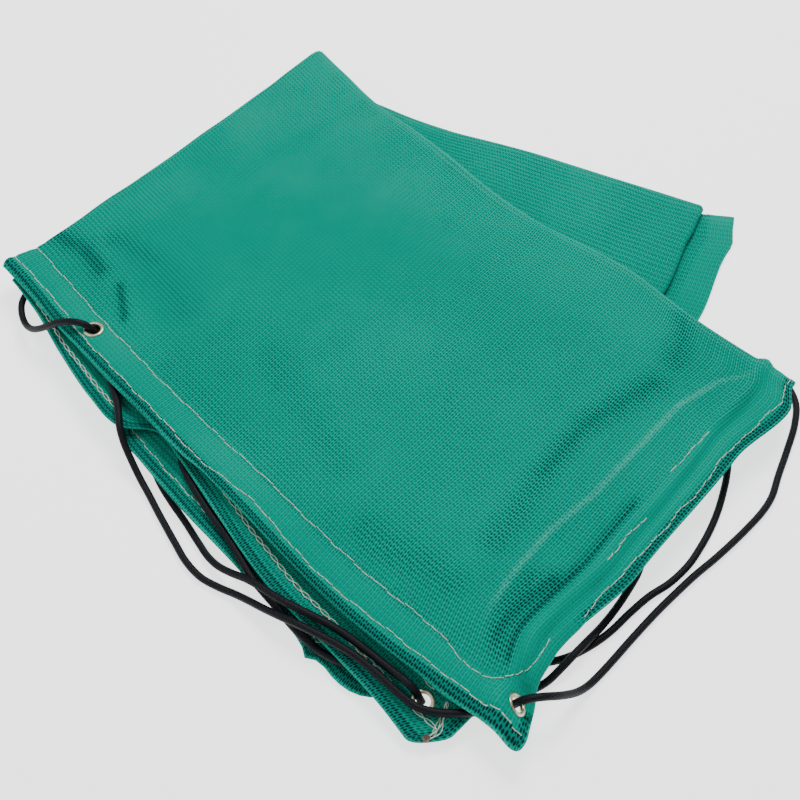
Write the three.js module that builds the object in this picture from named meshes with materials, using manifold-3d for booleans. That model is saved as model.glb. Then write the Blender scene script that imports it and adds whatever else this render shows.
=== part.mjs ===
// Folded cargo net with its elastic lashing cord, modelled in millimetres, +Z up.
//
// The net is one cloth with a sewn hem all round. It is folded in half along a back fold, which
// makes a double strip, and the strip is then laid back and forth in panels. Every panel has two
// plies: the upper one shows the front of the cloth and the lower one shows its reverse.
// Plan sizes in the tables are measured from the middle of the top panel.
import * as THREE from 'three';
import { mergeVertices } from 'three/addons/utils/BufferGeometryUtils.js';
import Module from 'manifold-3d';

// Cloth
const HALF_CLOTH = 0.6;
const HEM_TURNING = 0.6;
const HEM_WIDTH = 36;
const HEM_STEP = 4;
const HEM_LIFT_REACH = 60;
const TOP_HEM_CURL = 5;
const CURL_WIDTH = 10;

// Where the origin lies in the plan tables: under the middle of the folded net
const PLAN_ORIGIN = { x: -4.4, y: 57.2 };

// Nominal size of one ply, for the places of its hem lines
const PLY_WIDTH = 400;
const PANEL_LENGTH = 610;

// Eyelets, each with a barrel through the cloth and a flange on both faces
const EYELET_HOLE_RADIUS = 6.9;
const EYELET_BARREL_RADIUS = 6.5;
const EYELET_BORE_RADIUS = 5.7;
const EYELET_FLANGE_RADIUS = 9;
const EYELET_FLANGE = 0.6;
const EYELET_CROWN = 0.27;
const EYELET_SEAT_GAP = 0.35;
const EYELET_SIDES = 20;
const HOLE_CUTTER_LENGTH = 6;

// Cord
const CORD_RADIUS = 3;
const CORD_SIDES = 8;
const CORD_STEP = 14;

// How the free ends' shapes fade towards the left: a power of the place along the panel
const END_FADE = 3;

// How finely the cloth is divided
const PANEL_STEPS = 10;
const PLY_STEPS = 7;
const BACK_FOLD_STEPS = 4;
const END_FOLD_STEPS = 5;
const WELD_DISTANCE = 1e-4;

// The fold lines at the back, from the left end to the right end
const TOP_BACK_FOLD = [
  { x: -319, y: 216 },
  { x: -228, y: 200 },
  { x: -153, y: 195 },
  { x: -20, y: 186 },
  { x: 91, y: 199 },
  { x: 196, y: 196 },
  { x: 285, y: 199 },
];
const FLAP_BACK_FOLD = [
  { x: -314, y: 206 },
  { x: -268, y: 205 },
  { x: -221, y: 215 },
  { x: -152, y: 238 },
  { x: -71, y: 275 },
  { x: 19, y: 310 },
  { x: 94, y: 339 },
];
const BOTTOM_BACK_FOLD = [
  { x: -312, y: 205 },
  { x: -260, y: 204 },
  { x: -152, y: 238 },
  { x: 19, y: 309 },
  { x: 97, y: 339 },
  { x: 124, y: 358 },
];

// The hems at the front, with the height of the cloth there
const TOP_UPPER_HEM = [
  { x: -288, y: -194, z: 37.5 },
  { x: -230, y: -199, z: 38 },
  { x: -160, y: -204, z: 39.5 },
  { x: -95, y: -207, z: 40.5 },
  { x: 22, y: -210, z: 36 },
  { x: 141, y: -215, z: 32 },
  { x: 212, y: -210, z: 29.5 },
  { x: 265, y: -202, z: 29 },
  { x: 319, y: -191, z: 26 },
];
const TOP_LOWER_HEM = [
  { x: -286, y: -197, z: 28.5 },
  { x: -238, y: -204, z: 28 },
  { x: -190, y: -215, z: 27 },
  { x: -132, y: -225, z: 26 },
  { x: -92, y: -226, z: 25.5 },
  { x: -64, y: -207, z: 25.5 },
  { x: -32, y: -210, z: 24.5 },
  { x: 27, y: -221, z: 22.5 },
  { x: 101, y: -233, z: 19 },
  { x: 167, y: -235, z: 16.5 },
  { x: 224, y: -237, z: 13 },
  { x: 266, y: -242, z: 8 },
];
const SECOND_UPPER_HEM = [
  { x: -286, y: -195, z: 19.8 },
  { x: -150, y: -200, z: 18.5 },
  { x: -104, y: -208, z: 17.5 },
  { x: -62, y: -229, z: 16 },
  { x: -1, y: -236, z: 14 },
  { x: 78, y: -238, z: 10 },
  { x: 152, y: -245, z: 5 },
  { x: 194, y: -242, z: 3.5 },
  { x: 214, y: -226, z: 9 },
];
const HIDDEN_HEM = [
  { x: -284, y: -188 },
  { x: -40, y: -190 },
  { x: 201, y: -190 },
];

// How far each right-hand end stands out from a straight line, along the cloth's width
const TOP_UPPER_END = [
  { across: 0, out: 0 },
  { across: 0.06, out: -2 },
  { across: 0.18, out: -17 },
  { across: 0.4, out: -5 },
  { across: 0.75, out: 0 },
  { across: 0.93, out: 11 },
  { across: 1, out: 0 },
];
const TOP_LOWER_END = [
  { across: 0, out: 0 },
  { across: 0.06, out: 14 },
  { across: 0.12, out: 14 },
  { across: 0.3, out: 6 },
  { across: 1, out: 0 },
];
const FLAP_END = [
  { across: 0, out: 0 },
  { across: 0.5, out: 18 },
  { across: 0.8, out: 14 },
  { across: 0.94, out: 4 },
  { across: 1, out: 0 },
];
const BOTTOM_END = [
  { across: 0, out: 0 },
  { across: 0.5, out: 42 },
  { across: 0.75, out: 33 },
  { across: 0.94, out: 15 },
  { across: 1, out: 0 },
];

// The panels from top to bottom. Levels are ply heights at the four corners of the panel.
const PANELS = [
  {
    fold: TOP_BACK_FOLD,
    upper: {
      hem: TOP_UPPER_HEM,
      end: TOP_UPPER_END,
      level: { leftFront: 37.5, rightFront: 28, leftBack: 43, rightBack: 33 },
      curl: TOP_HEM_CURL,
    },
    lower: {
      hem: TOP_LOWER_HEM,
      end: TOP_LOWER_END,
      level: { leftFront: 28.5, rightFront: 13, leftBack: 36, rightBack: 26 },
      curl: 0,
    },
  },
  {
    fold: FLAP_BACK_FOLD,
    upper: {
      hem: SECOND_UPPER_HEM,
      end: FLAP_END,
      level: { leftFront: 20, rightFront: 13.3, leftBack: 27, rightBack: 13 },
      curl: 0,
    },
    lower: {
      hem: HIDDEN_HEM,
      end: FLAP_END,
      level: { leftFront: 15.7, rightFront: 9.8, leftBack: 22, rightBack: 10 },
      curl: 0,
    },
  },
  {
    fold: FLAP_BACK_FOLD,
    upper: {
      hem: HIDDEN_HEM,
      end: FLAP_END,
      level: { leftFront: 12.8, rightFront: 8, leftBack: 17, rightBack: 8.2 },
      curl: 0,
    },
    lower: {
      hem: HIDDEN_HEM,
      end: FLAP_END,
      level: { leftFront: 9.2, rightFront: 5.1, leftBack: 12, rightBack: 5.3 },
      curl: 0,
    },
  },
  {
    fold: BOTTOM_BACK_FOLD,
    upper: {
      hem: HIDDEN_HEM,
      end: BOTTOM_END,
      level: { leftFront: 5.4, rightFront: 3.4, leftBack: 6.5, rightBack: 3.5 },
      curl: 0,
    },
    lower: {
      hem: HIDDEN_HEM,
      end: BOTTOM_END,
      level: { leftFront: 0.6, rightFront: 0.6, leftBack: 0.6, rightBack: 0.6 },
      curl: 0,
    },
  },
];

// Eyelets that show, by their place in the ply: along its length and across its width
const EYELETS = [
  { name: 'eyelet_front_corner', side: 'upper', along: 0.974, across: 0.053 },
  { name: 'eyelet_left', side: 'upper', along: 0.182, across: 0.05 },
  { name: 'eyelet_lower_corner', side: 'lower', along: 0.947, across: 0.056 },
];

// Routes of the cord's stretches, in the same plan sizes as the folds
const CORDS = [
  {
    name: 'cord_left_loop',
    route: [
      [-176.2, -180.6, 33], [-179, -182.8, 37.7], [-181.3, -184.6, 41.6], [-184.6, -187.2, 45.2],
      [-189.4, -190.8, 46.9], [-196, -195.6, 46.4], [-204, -201.2, 42.8], [-213, -207.4, 36.2],
      [-223.6, -213, 28], [-234.6, -215.4, 21.2], [-247, -214.4, 17.2], [-258, -210.4, 17.4],
      [-265.4, -204.4, 20.8], [-268.6, -197.4, 23.8], [-269.6, -189, 24.2], [-270, -180, 24.2],
    ],
  },
  {
    name: 'cord_front_long',
    route: [
      [-144, -194, 31.4], [-134, -201, 31], [-120, -207.5, 30.8], [-107, -213.5, 30.8],
      [-97, -219.6, 30.5], [-87, -226.6, 27.5], [-76, -231.8, 20.5], [-63, -235.8, 13],
      [-49, -239.6, 6.6], [-33, -243.4, 3.6], [-16, -248, 3.3], [16, -256, 3.3], [36, -260.5, 3.3],
      [55, -261, 3.3], [72, -256.5, 3.4], [86, -252, 5.5], [100, -249, 9.5], [114, -246.6, 14],
      [129, -243.4, 18.5], [145, -239, 21.8], [161.5, -234, 22], [177, -229.5, 21.5],
      [190, -226.5, 20.8], [205, -224.5, 19.9], [221, -223.6, 18.9], [236, -223, 18.2],
      [250, -221, 17.8], [262, -214.5, 17.8], [272.5, -205.5, 18.1], [282, -195, 18],
      [289.5, -185.2, 17.8], [294.6, -179.2, 19.4], [297.7, -175.7, 23], [299.7, -173.4, 26.8],
      [301.7, -171.2, 30.6], [304.5, -168, 34], [308.2, -163.6, 35.4], [312.6, -157.4, 34.2],
      [317, -149.6, 29], [320.6, -140, 20.4], [323.2, -129.5, 11.4], [324.6, -118, 5.2],
      [325, -106, 3.3], [325, -90, 3.3], [324.5, -66, 3.3],
      [324.5, -36, 3.3], [325.5, -12, 3.3], [327, 11, 3.3], [329.5, 33, 3.3], [331, 52, 3.3],
      [332, 72, 3.3], [332, 96, 3.3], [329.5, 113, 3.3], [322, 134, 3.3], [313, 161, 3.3],
      [303, 188, 3.3], [291, 208, 3.3], [274, 219, 3.3], [254, 219, 3.3], [236, 208, 3.3],
      [222, 190, 3.3],
    ],
  },
  {
    name: 'cord_front_middle',
    route: [
      [-86, -205, 3.3], [-72, -214, 3.3], [-56, -222.5, 3.3], [-38, -229.5, 3.3], [-16, -234.5, 3.3],
      [8, -238.5, 3.3], [30, -243, 3.4], [46, -246, 5], [60, -246.4, 8.6], [74, -244.2, 13.4],
      [87, -241, 18], [100, -238.6, 21], [113, -236.8, 22.8], [126, -234.2, 24], [138, -230.6, 24],
      [150, -226.6, 23], [162, -222.8, 22.2], [175, -220, 21.6], [188, -218, 20.8],
      [202, -216.4, 20], [214, -215.4, 20], [224, -214.8, 21.2], [232.4, -214.4, 22.2],
      [238.6, -214.1, 21.1], [243.1, -214, 17.4], [245.8, -213.9, 13.3], [248.3, -213.9, 9.5],
    ],
  },
  {
    name: 'cord_front_inner',
    route: [
      [-38, -204, 20], [-25, -211, 19.6], [-4, -217.5, 18.8], [12, -221, 18], [28, -224, 17.2],
      [40, -225.5, 16.6], [54, -228, 16], [67, -231, 15.3], [79, -234, 14.4], [90, -236.5, 13.6],
      [101, -237.5, 12.9], [114, -238.3, 12], [127, -239.3, 11.2], [139, -240.2, 10.4],
      [151, -240.3, 9.7], [163, -239.6, 9.3], [174, -237.6, 9.6], [184, -234.8, 10.4],
      [191, -231.5, 11.2],
    ],
  },
  {
    name: 'cord_right_outer',
    route: [
      [182, 125, 7.6], [192, 128, 7.6], [204, 130.6, 6.6], [217, 132.4, 4.3], [231, 133.4, 3.3],
      [245, 133.4, 3.3], [258, 132, 3.3], [271, 128.5, 3.3], [281, 121, 3.3], [289.5, 108, 3.3],
      [297, 93, 3.3], [306, 71, 3.3], [312, 51, 3.3], [315.5, 34, 3.3], [318, 15, 3.3],
      [317, -8, 3.3], [312.5, -29, 3.3], [310.5, -50, 3.3], [309.5, -72, 3.3], [306.5, -90, 3.3],
      [300.5, -109, 3.3], [292, -124, 3.3], [280, -137, 3.3],
    ],
  },
  {
    name: 'cord_right_inner',
    route: [
      [276, 8, 3.3], [286, -2, 3.3], [293.5, -17, 3.3], [298, -37, 3.3], [301, -58, 3.4],
      [302.5, -77, 5.5], [303, -93, 9.6], [303, -108, 10.8], [302.5, -123, 8],
      [301, -137, 4], [296.5, -150, 3.3], [287, -161, 3.3],
    ],
  },
];

const lerp = THREE.MathUtils.lerp;
const smooth = (value) => THREE.MathUtils.smoothstep(value, 0, 1);

function splineThrough(rows) {
  const points = rows.map((row) => new THREE.Vector3(row.x, row.y, row.z ?? 0));
  return new THREE.CatmullRomCurve3(points, false, 'centripetal');
}

for (const panel of PANELS) {
  panel.foldCurve = splineThrough(panel.fold);
  for (const side of ['upper', 'lower']) panel[side].hemCurve = splineThrough(panel[side].hem);
}

function tableValue(rows, across) {
  for (let i = 1; i < rows.length; i++) {
    const [before, after] = [rows[i - 1], rows[i]];
    if (across <= after.across) {
      const f = (across - before.across) / (after.across - before.across);
      return lerp(before.out, after.out, smooth(f));
    }
  }
  return rows[rows.length - 1].out;
}

// A point in the middle of a ply; along runs left to right and across from the hem to the fold
function plyPoint(panelIndex, side, along, across) {
  const panel = PANELS[panelIndex];
  const ply = panel[side];
  const hem = ply.hemCurve.getPointAt(along);
  const fold = panel.foldCurve.getPointAt(along);
  const point = new THREE.Vector3().lerpVectors(hem, fold, across);
  point.x += tableValue(ply.end, across) * along ** END_FADE;
  const level = ply.level;
  const front = lerp(level.leftFront, level.rightFront, along);
  const back = lerp(level.leftBack, level.rightBack, along);
  const width = hem.distanceTo(fold);
  point.z = lerp(front, back, across);
  if (ply.hem[0].z !== undefined) {
    point.z = lerp(hem.z, point.z, smooth((across * width) / HEM_LIFT_REACH));
  }
  point.z -= ply.curl * Math.max(0, 1 - (across * width) / CURL_WIDTH) ** 2;
  return point.sub(new THREE.Vector3(PLAN_ORIGIN.x, PLAN_ORIGIN.y, 0));
}

// The side of a panel on which a half of the folded strip lies: the halves swap at each end fold
function sideOf(half, panelIndex) {
  return (half === 'first') === (panelIndex % 2 === 0) ? 'upper' : 'lower';
}

// A point of one panel at a station across the strip, round the back fold from hem to hem
function panelPoint(panelIndex, along, station) {
  const firstSide = sideOf('first', panelIndex);
  const secondSide = sideOf('second', panelIndex);
  if (station.half) return plyPoint(panelIndex, sideOf(station.half, panelIndex), along, station.across);
  const start = plyPoint(panelIndex, firstSide, along, 1);
  const finish = plyPoint(panelIndex, secondSide, along, 1);
  const radius = (start.z - finish.z) / 2;
  const point = start.clone().lerp(finish, (1 - Math.cos(station.turn)) / 2);
  point.z = (start.z + finish.z) / 2 + radius * Math.cos(station.turn);
  const tangent = PANELS[panelIndex].foldCurve.getTangentAt(along);
  const outward = new THREE.Vector3(-tangent.y, tangent.x, 0).normalize();
  return point.addScaledVector(outward, Math.abs(radius) * Math.sin(station.turn));
}

// A point of the strip at a step along it, in a panel or round the fold between two panels
function stripPoint(step, station) {
  if (step.turn === undefined) return panelPoint(step.panel, step.along, station);
  const start = panelPoint(step.panel, step.along, station);
  const finish = panelPoint(step.panel + 1, step.along, station);
  const radius = (start.z - finish.z) / 2;
  const point = start.clone().lerp(finish, (1 - Math.cos(step.turn)) / 2);
  point.z = (start.z + finish.z) / 2 + radius * Math.cos(step.turn);
  point.x += (step.along === 0 ? -1 : 1) * radius * Math.sin(step.turn);
  return point;
}

// Fractions from 0 to 1 with lines at the hem's inner edge, on the side or sides that have a hem
function dividedLength(count, length, hemAtStart, hemAtEnd) {
  const hem = (HEM_WIDTH - HEM_STEP / 2) / length;
  const field = (HEM_WIDTH + HEM_STEP / 2) / length;
  const curl = CURL_WIDTH / length;
  const first = hemAtStart ? field : 0;
  const last = hemAtEnd ? 1 - field : 1;
  const marks = hemAtStart ? [0, curl, hem] : [];
  for (let i = 0; i <= count; i++) marks.push(lerp(first, last, i / count));
  if (hemAtEnd) marks.push(1 - hem, 1);
  return marks;
}

function stationsAcross() {
  const marks = dividedLength(PLY_STEPS, PLY_WIDTH, true, false);
  const first = marks.map((across) => ({ half: 'first', across }));
  const second = marks.map((across) => ({ half: 'second', across })).reverse();
  const round = [];
  for (let i = 1; i < BACK_FOLD_STEPS; i++) round.push({ turn: (Math.PI * i) / BACK_FOLD_STEPS });
  return [...first, ...round, ...second];
}

function stepsAlong() {
  const steps = [];
  PANELS.forEach((panel, index) => {
    const isFirst = index === 0;
    const isLast = index === PANELS.length - 1;
    const marks = dividedLength(PANEL_STEPS, PANEL_LENGTH, false, isFirst || isLast);
    const ordered = index % 2 === 0 ? marks.reverse() : marks;
    for (const along of ordered) steps.push({ panel: index, along });
    if (isLast) return;
    const end = index % 2 === 0 ? 0 : 1;
    for (let i = 1; i < END_FOLD_STEPS; i++) {
      steps.push({ panel: index, along: end, turn: (Math.PI * i) / END_FOLD_STEPS });
    }
  });
  return steps;
}

// The reverse face stands out further where the hem is turned in
function reverseDepth(step, station) {
  const nearHem = station.half !== undefined && station.across * PLY_WIDTH < HEM_WIDTH;
  const freeEnd = step.panel === 0 || step.panel === PANELS.length - 1;
  const nearEnd = step.turn === undefined && freeEnd && (1 - step.along) * PANEL_LENGTH < HEM_WIDTH;
  return HALF_CLOTH + (nearHem || nearEnd ? HEM_TURNING : 0);
}

function clothGeometry() {
  const steps = stepsAlong();
  const stations = stationsAcross();
  const grid = steps.map((step) => stations.map((station) => stripPoint(step, station)));
  const [rows, columns] = [steps.length, stations.length];
  const within = (value, count) => Math.min(Math.max(value, 0), count - 1);
  const at = (i, j) => grid[within(i, rows)][within(j, columns)];
  const positions = [];
  for (const face of [1, -1]) {
    for (let i = 0; i < rows; i++) {
      for (let j = 0; j < columns; j++) {
        const alongEdge = at(i + 1, j).clone().sub(at(i - 1, j));
        const acrossEdge = at(i, j + 1).clone().sub(at(i, j - 1));
        const normal = acrossEdge.cross(alongEdge).normalize();
        const depth = face === 1 ? HALF_CLOTH : reverseDepth(steps[i], stations[j]);
        positions.push(...at(i, j).clone().addScaledVector(normal, face * depth).toArray());
      }
    }
  }
  const front = (i, j) => i * columns + j;
  const reverse = (i, j) => rows * columns + i * columns + j;
  const index = [];
  const quad = (a, b, c, d) => index.push(a, b, c, a, c, d);
  for (let i = 0; i + 1 < rows; i++) {
    for (let j = 0; j + 1 < columns; j++) {
      quad(front(i, j), front(i, j + 1), front(i + 1, j + 1), front(i + 1, j));
      quad(reverse(i, j), reverse(i + 1, j), reverse(i + 1, j + 1), reverse(i, j + 1));
    }
    quad(front(i, 0), front(i + 1, 0), reverse(i + 1, 0), reverse(i, 0));
    const last = columns - 1;
    quad(front(i, last), reverse(i, last), reverse(i + 1, last), front(i + 1, last));
  }
  for (let j = 0; j + 1 < columns; j++) {
    quad(front(0, j), reverse(0, j), reverse(0, j + 1), front(0, j + 1));
    const last = rows - 1;
    quad(front(last, j), front(last, j + 1), reverse(last, j + 1), reverse(last, j));
  }
  const geometry = new THREE.BufferGeometry();
  geometry.setAttribute('position', new THREE.Float32BufferAttribute(positions, 3));
  geometry.setIndex(index);
  return geometry;
}

// Where an eyelet sits on its flat facet of the hem: its centre in the cloth, and the turn that
// takes +Z to the facet's normal
function eyeletSeat(eyelet) {
  const alongMarks = dividedLength(PANEL_STEPS, PANEL_LENGTH, false, true);
  const cell = alongMarks.findIndex((mark) => mark > eyelet.along);
  const [left, right] = [alongMarks[cell - 1], alongMarks[cell]];
  const [near, far] = [CURL_WIDTH / PLY_WIDTH, (HEM_WIDTH - HEM_STEP / 2) / PLY_WIDTH];
  const nearEdge = [plyPoint(0, eyelet.side, left, near), plyPoint(0, eyelet.side, right, near)];
  const farEdge = [plyPoint(0, eyelet.side, left, far), plyPoint(0, eyelet.side, right, far)];
  const fraction = (eyelet.along - left) / (right - left);
  const nearPoint = nearEdge[0].clone().lerp(nearEdge[1], fraction);
  const farPoint = farEdge[0].clone().lerp(farEdge[1], fraction);
  const centre = nearPoint.clone().lerp(farPoint, (eyelet.across - near) / (far - near));
  const alongEdge = nearEdge[1].clone().sub(nearEdge[0]).add(farEdge[1]).sub(farEdge[0]);
  const up = alongEdge.cross(farPoint.sub(nearPoint)).normalize();
  const turn = new THREE.Quaternion().setFromUnitVectors(new THREE.Vector3(0, 0, 1), up);
  return { centre, turn };
}

// Heights of the two flange seats above the middle of the cloth: the reverse is the thicker side
function seatHeights(eyelet) {
  const frontSeat = HALF_CLOTH + EYELET_SEAT_GAP;
  const reverseSeat = HALF_CLOTH + HEM_TURNING + EYELET_SEAT_GAP;
  if (eyelet.side === 'upper') return { top: frontSeat, bottom: -reverseSeat };
  return { top: reverseSeat, bottom: -frontSeat };
}

function eyeletGeometry(eyelet) {
  const { top, bottom } = seatHeights(eyelet);
  const profile = [
    [EYELET_BORE_RADIUS, bottom - EYELET_FLANGE + EYELET_CROWN],
    [EYELET_BORE_RADIUS + EYELET_CROWN, bottom - EYELET_FLANGE],
    [EYELET_FLANGE_RADIUS - EYELET_CROWN, bottom - EYELET_FLANGE],
    [EYELET_FLANGE_RADIUS, bottom],
    [EYELET_BARREL_RADIUS, bottom],
    [EYELET_BARREL_RADIUS, top],
    [EYELET_FLANGE_RADIUS, top],
    [EYELET_FLANGE_RADIUS - EYELET_CROWN, top + EYELET_FLANGE],
    [EYELET_BORE_RADIUS + EYELET_CROWN, top + EYELET_FLANGE],
    [EYELET_BORE_RADIUS, top + EYELET_FLANGE - EYELET_CROWN],
    [EYELET_BORE_RADIUS, bottom - EYELET_FLANGE + EYELET_CROWN],
  ];
  const points = profile.map(([radius, height]) => new THREE.Vector2(radius, height));
  const geometry = new THREE.LatheGeometry(points, EYELET_SIDES);
  return geometry.rotateX(Math.PI / 2);
}

const wasm = await Module();
wasm.setup();

function solidOf(geometry) {
  const bare = geometry.clone();
  bare.deleteAttribute('normal');
  bare.deleteAttribute('uv');
  const merged = mergeVertices(bare, WELD_DISTANCE);
  return new wasm.Manifold(new wasm.Mesh({
    numProp: 3,
    vertProperties: new Float32Array(merged.attributes.position.array),
    triVerts: new Uint32Array(merged.index.array),
  }));
}

function geometryOf(solid) {
  const mesh = solid.getMesh();
  const geometry = new THREE.BufferGeometry();
  geometry.setAttribute('position', new THREE.BufferAttribute(mesh.vertProperties, 3));
  geometry.setIndex(new THREE.BufferAttribute(mesh.triVerts, 1));
  return geometry;
}

function piercedCloth() {
  let cloth = solidOf(clothGeometry());
  for (const eyelet of EYELETS) {
    const { centre, turn } = eyeletSeat(eyelet);
    const cutter = new THREE.CylinderGeometry(
      EYELET_HOLE_RADIUS, EYELET_HOLE_RADIUS, HOLE_CUTTER_LENGTH, EYELET_SIDES,
    );
    cutter.rotateX(Math.PI / 2);
    cutter.applyQuaternion(turn);
    cutter.translate(centre.x, centre.y, centre.z);
    cloth = cloth.subtract(solidOf(cutter));
  }
  return geometryOf(cloth);
}

function cordGeometry(cord) {
  const origin = new THREE.Vector3(PLAN_ORIGIN.x, PLAN_ORIGIN.y, 0);
  const points = cord.route.map((place) => new THREE.Vector3(...place).sub(origin));
  const path = new THREE.CatmullRomCurve3(points, false, 'centripetal');
  const section = new THREE.Shape();
  section.absarc(0, 0, CORD_RADIUS, 0, 2 * Math.PI, false);
  return new THREE.ExtrudeGeometry(section, {
    curveSegments: CORD_SIDES / 2,
    steps: Math.ceil(path.getLength() / CORD_STEP),
    bevelEnabled: false,
    extrudePath: path,
  });
}

const clothGreen = new THREE.MeshStandardMaterial({ color: 0x0a9f80, roughness: 0.75, metalness: 0 });
const cordBlack = new THREE.MeshStandardMaterial({ color: 0x12151a, roughness: 0.6, metalness: 0 });
const metal = new THREE.MeshStandardMaterial({ color: 0xb8b08c, roughness: 0.35, metalness: 1 });

const group = new THREE.Group();

const net = new THREE.Mesh(piercedCloth(), clothGreen);
net.name = 'net';
group.add(net);

for (const eyelet of EYELETS) {
  const { centre, turn } = eyeletSeat(eyelet);
  const mesh = new THREE.Mesh(eyeletGeometry(eyelet), metal);
  mesh.name = eyelet.name;
  mesh.position.copy(centre);
  mesh.quaternion.copy(turn);
  group.add(mesh);
}

for (const cord of CORDS) {
  const mesh = new THREE.Mesh(cordGeometry(cord), cordBlack);
  mesh.name = cord.name;
  group.add(mesh);
}

export default group;
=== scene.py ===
# Folded trailer cargo net with its elastic lashing cord, in metres, +Z up.
#
# The net is one cloth that lies folded in half along its back and then back and forth in panels.
# Every place on it is given as a maker measures the flat cloth: u is the distance from its free
# end, along its length, and v the distance from its first long edge, across its width.
import functools
import math

import bmesh
import bpy
import numpy as np
from mathutils import Matrix, Vector, noise


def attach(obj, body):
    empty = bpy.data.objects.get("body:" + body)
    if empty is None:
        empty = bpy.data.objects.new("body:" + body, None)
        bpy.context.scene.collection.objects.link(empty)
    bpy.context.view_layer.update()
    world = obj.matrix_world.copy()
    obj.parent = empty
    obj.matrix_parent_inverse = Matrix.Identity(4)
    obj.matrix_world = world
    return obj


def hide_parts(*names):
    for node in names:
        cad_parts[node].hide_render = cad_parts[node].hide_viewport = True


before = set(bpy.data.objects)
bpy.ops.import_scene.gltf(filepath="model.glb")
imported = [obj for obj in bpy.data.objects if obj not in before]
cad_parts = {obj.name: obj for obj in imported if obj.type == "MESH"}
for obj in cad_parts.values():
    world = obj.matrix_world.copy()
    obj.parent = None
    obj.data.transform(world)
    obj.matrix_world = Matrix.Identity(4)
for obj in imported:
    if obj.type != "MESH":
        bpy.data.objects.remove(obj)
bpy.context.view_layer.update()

bl_info = {
    "name": "Folded Trailer Net",
    "version": (1, 0, 0),
    "blender": (4, 5, 0),
    "location": "3D View > Sidebar > Folded Net",
    "description": "Makes a folded mesh net with its hems, eyelets and elastic lashing cord",
    "category": "Add Mesh",
}

BODY = "root"

# The plan tables below are measured from the middle of the top panel; the origin lies here
PLAN_ORIGIN = (-0.0044, 0.0572, 0)

# Cloth
PLY_WIDTH = 0.400
PANEL_LENGTH = 0.610
BACK_FOLD_LENGTH = 0.008
END_FOLD_LENGTH = 0.020
CLOTH_WIDTH = 2 * PLY_WIDTH + BACK_FOLD_LENGTH
CLOTH_LENGTH = 4 * PANEL_LENGTH + 3 * END_FOLD_LENGTH
CLOTH_THICKNESS = 0.0011
HEM_THICKNESS = 0.0018
HEM_SINK = 0.0003
HEM_WIDTH = 0.037
STRIP_WIDTH = 0.010
HEM_LIFT_REACH = 0.060
LOWER_HEM_REACH = 0.090
TOP_HEM_CURL = 0.005
CURL_WIDTH = 0.010
END_FADE = 3

# Modifier weights near the cut edge, as (distance from it, weight), and the thickness at weight 0
# as a part of the hem's
EDGE_WEIGHTS = ((0.0005, 0.3), (0.002, 0.8))
THINNEST_PART = 0.2

# The outer strip of the top hem rolls in a little between these places along it, and the free
# end rolls down a little. The edge's column of points and the one so many columns on give the
# way in.
EDGE_ROLL = 0.0028
EDGE_ROLL_WIDTH = 0.012
EDGE_ROLL_REACH = (0.060, 0.350)
EDGE_ROLL_FADE = 0.030
END_ROLL = 0.0045
END_ROLL_WIDTH = 0.009
END_ROLL_REACH = (0.030, 0.104)
END_ROLL_FADE = 0.010
WAY_IN_COLUMNS = 8

# All corners are rounded. At the front corner the eyelet leans towards the free end, the tip is
# drawn out and the end beside it drawn in to a waist. The left corner of the top panel is drawn
# out too.
CORNER_ROUND = 0.010
CORNER_LEAN = 1.05
CORNER_LEAN_REACH = 0.0175
TIP_OUT = 0.010
TIP_REACH = 0.016
WAIST_IN = 0.007
WAIST_PLACE = 0.040
WAIST_REACH = 0.016
LEFT_CORNER_OUT = 0.0135
LEFT_CORNER_REACH = 0.024

# Small relief of the cloth: a dent along each sewn line, puckers beside it, and the fuller band
# of the hem between the lines. It fades out towards each eyelet.
DENT_DEPTH = 0.0005
DENT_REACH = 0.0016
PUCKER_HEIGHT = 0.00038
PUCKER_REACH = 0.0075
PUCKER_LENGTH = 0.0125
PUCKER_DRIFT = 2.2
PUCKER_DRIFT_LENGTH = 0.071
HEM_FULLNESS = 0.0006
FULLNESS_REACH = (0.001, 0.006)
HEM_FADE = 0.003
EYELET_CALM = 0.008

# Soft waves, as (fineness along x, fineness along y, shift, layer of the noise, part of the
# height), and the height above the floor at which they have their full size
WAVES = ((7, 9, 0, 3, 1), (21, 25, 5, 8, 0.35))
WAVE_FULL_HEIGHT = 0.036

# How much painted shade fills the mesh's holes where the plies touch, how much that varies, and
# how much fills them on the lower hems and on the strip along the outer edge. The hems get less
# painted shade by these parts, on the lower plies and on the top one. Where the free end rolls
# down, its strip is out of sight.
RESTING_HOLE_SHADE = 0.22
HOLE_SHADE_VARIES = 0.15
LOWER_HEM_SHADE = 0.5
STRIP_SHADE = 0.95
CALM_HEM = (0.2, 0.95)
ROLLED_END = (0.020, 0.104)
SOFT_END = 0.004
STRIP_START = 0.0005
STRIP_FADE = 0.001

# Fold lines at the back, from the left end to the right end, as (x, y)
TOP_BACK_FOLD = (
    (-0.319, 0.216), (-0.228, 0.2), (-0.153, 0.195), (-0.02, 0.186), (0.091, 0.199),
    (0.196, 0.196), (0.285, 0.199),
)
FLAP_BACK_FOLD = (
    (-0.314, 0.206), (-0.268, 0.205), (-0.221, 0.215), (-0.152, 0.238), (-0.071, 0.275),
    (0.019, 0.31), (0.094, 0.339),
)
BOTTOM_BACK_FOLD = (
    (-0.312, 0.205), (-0.26, 0.204), (-0.152, 0.238), (0.019, 0.309), (0.097, 0.339),
    (0.124, 0.358),
)

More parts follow.
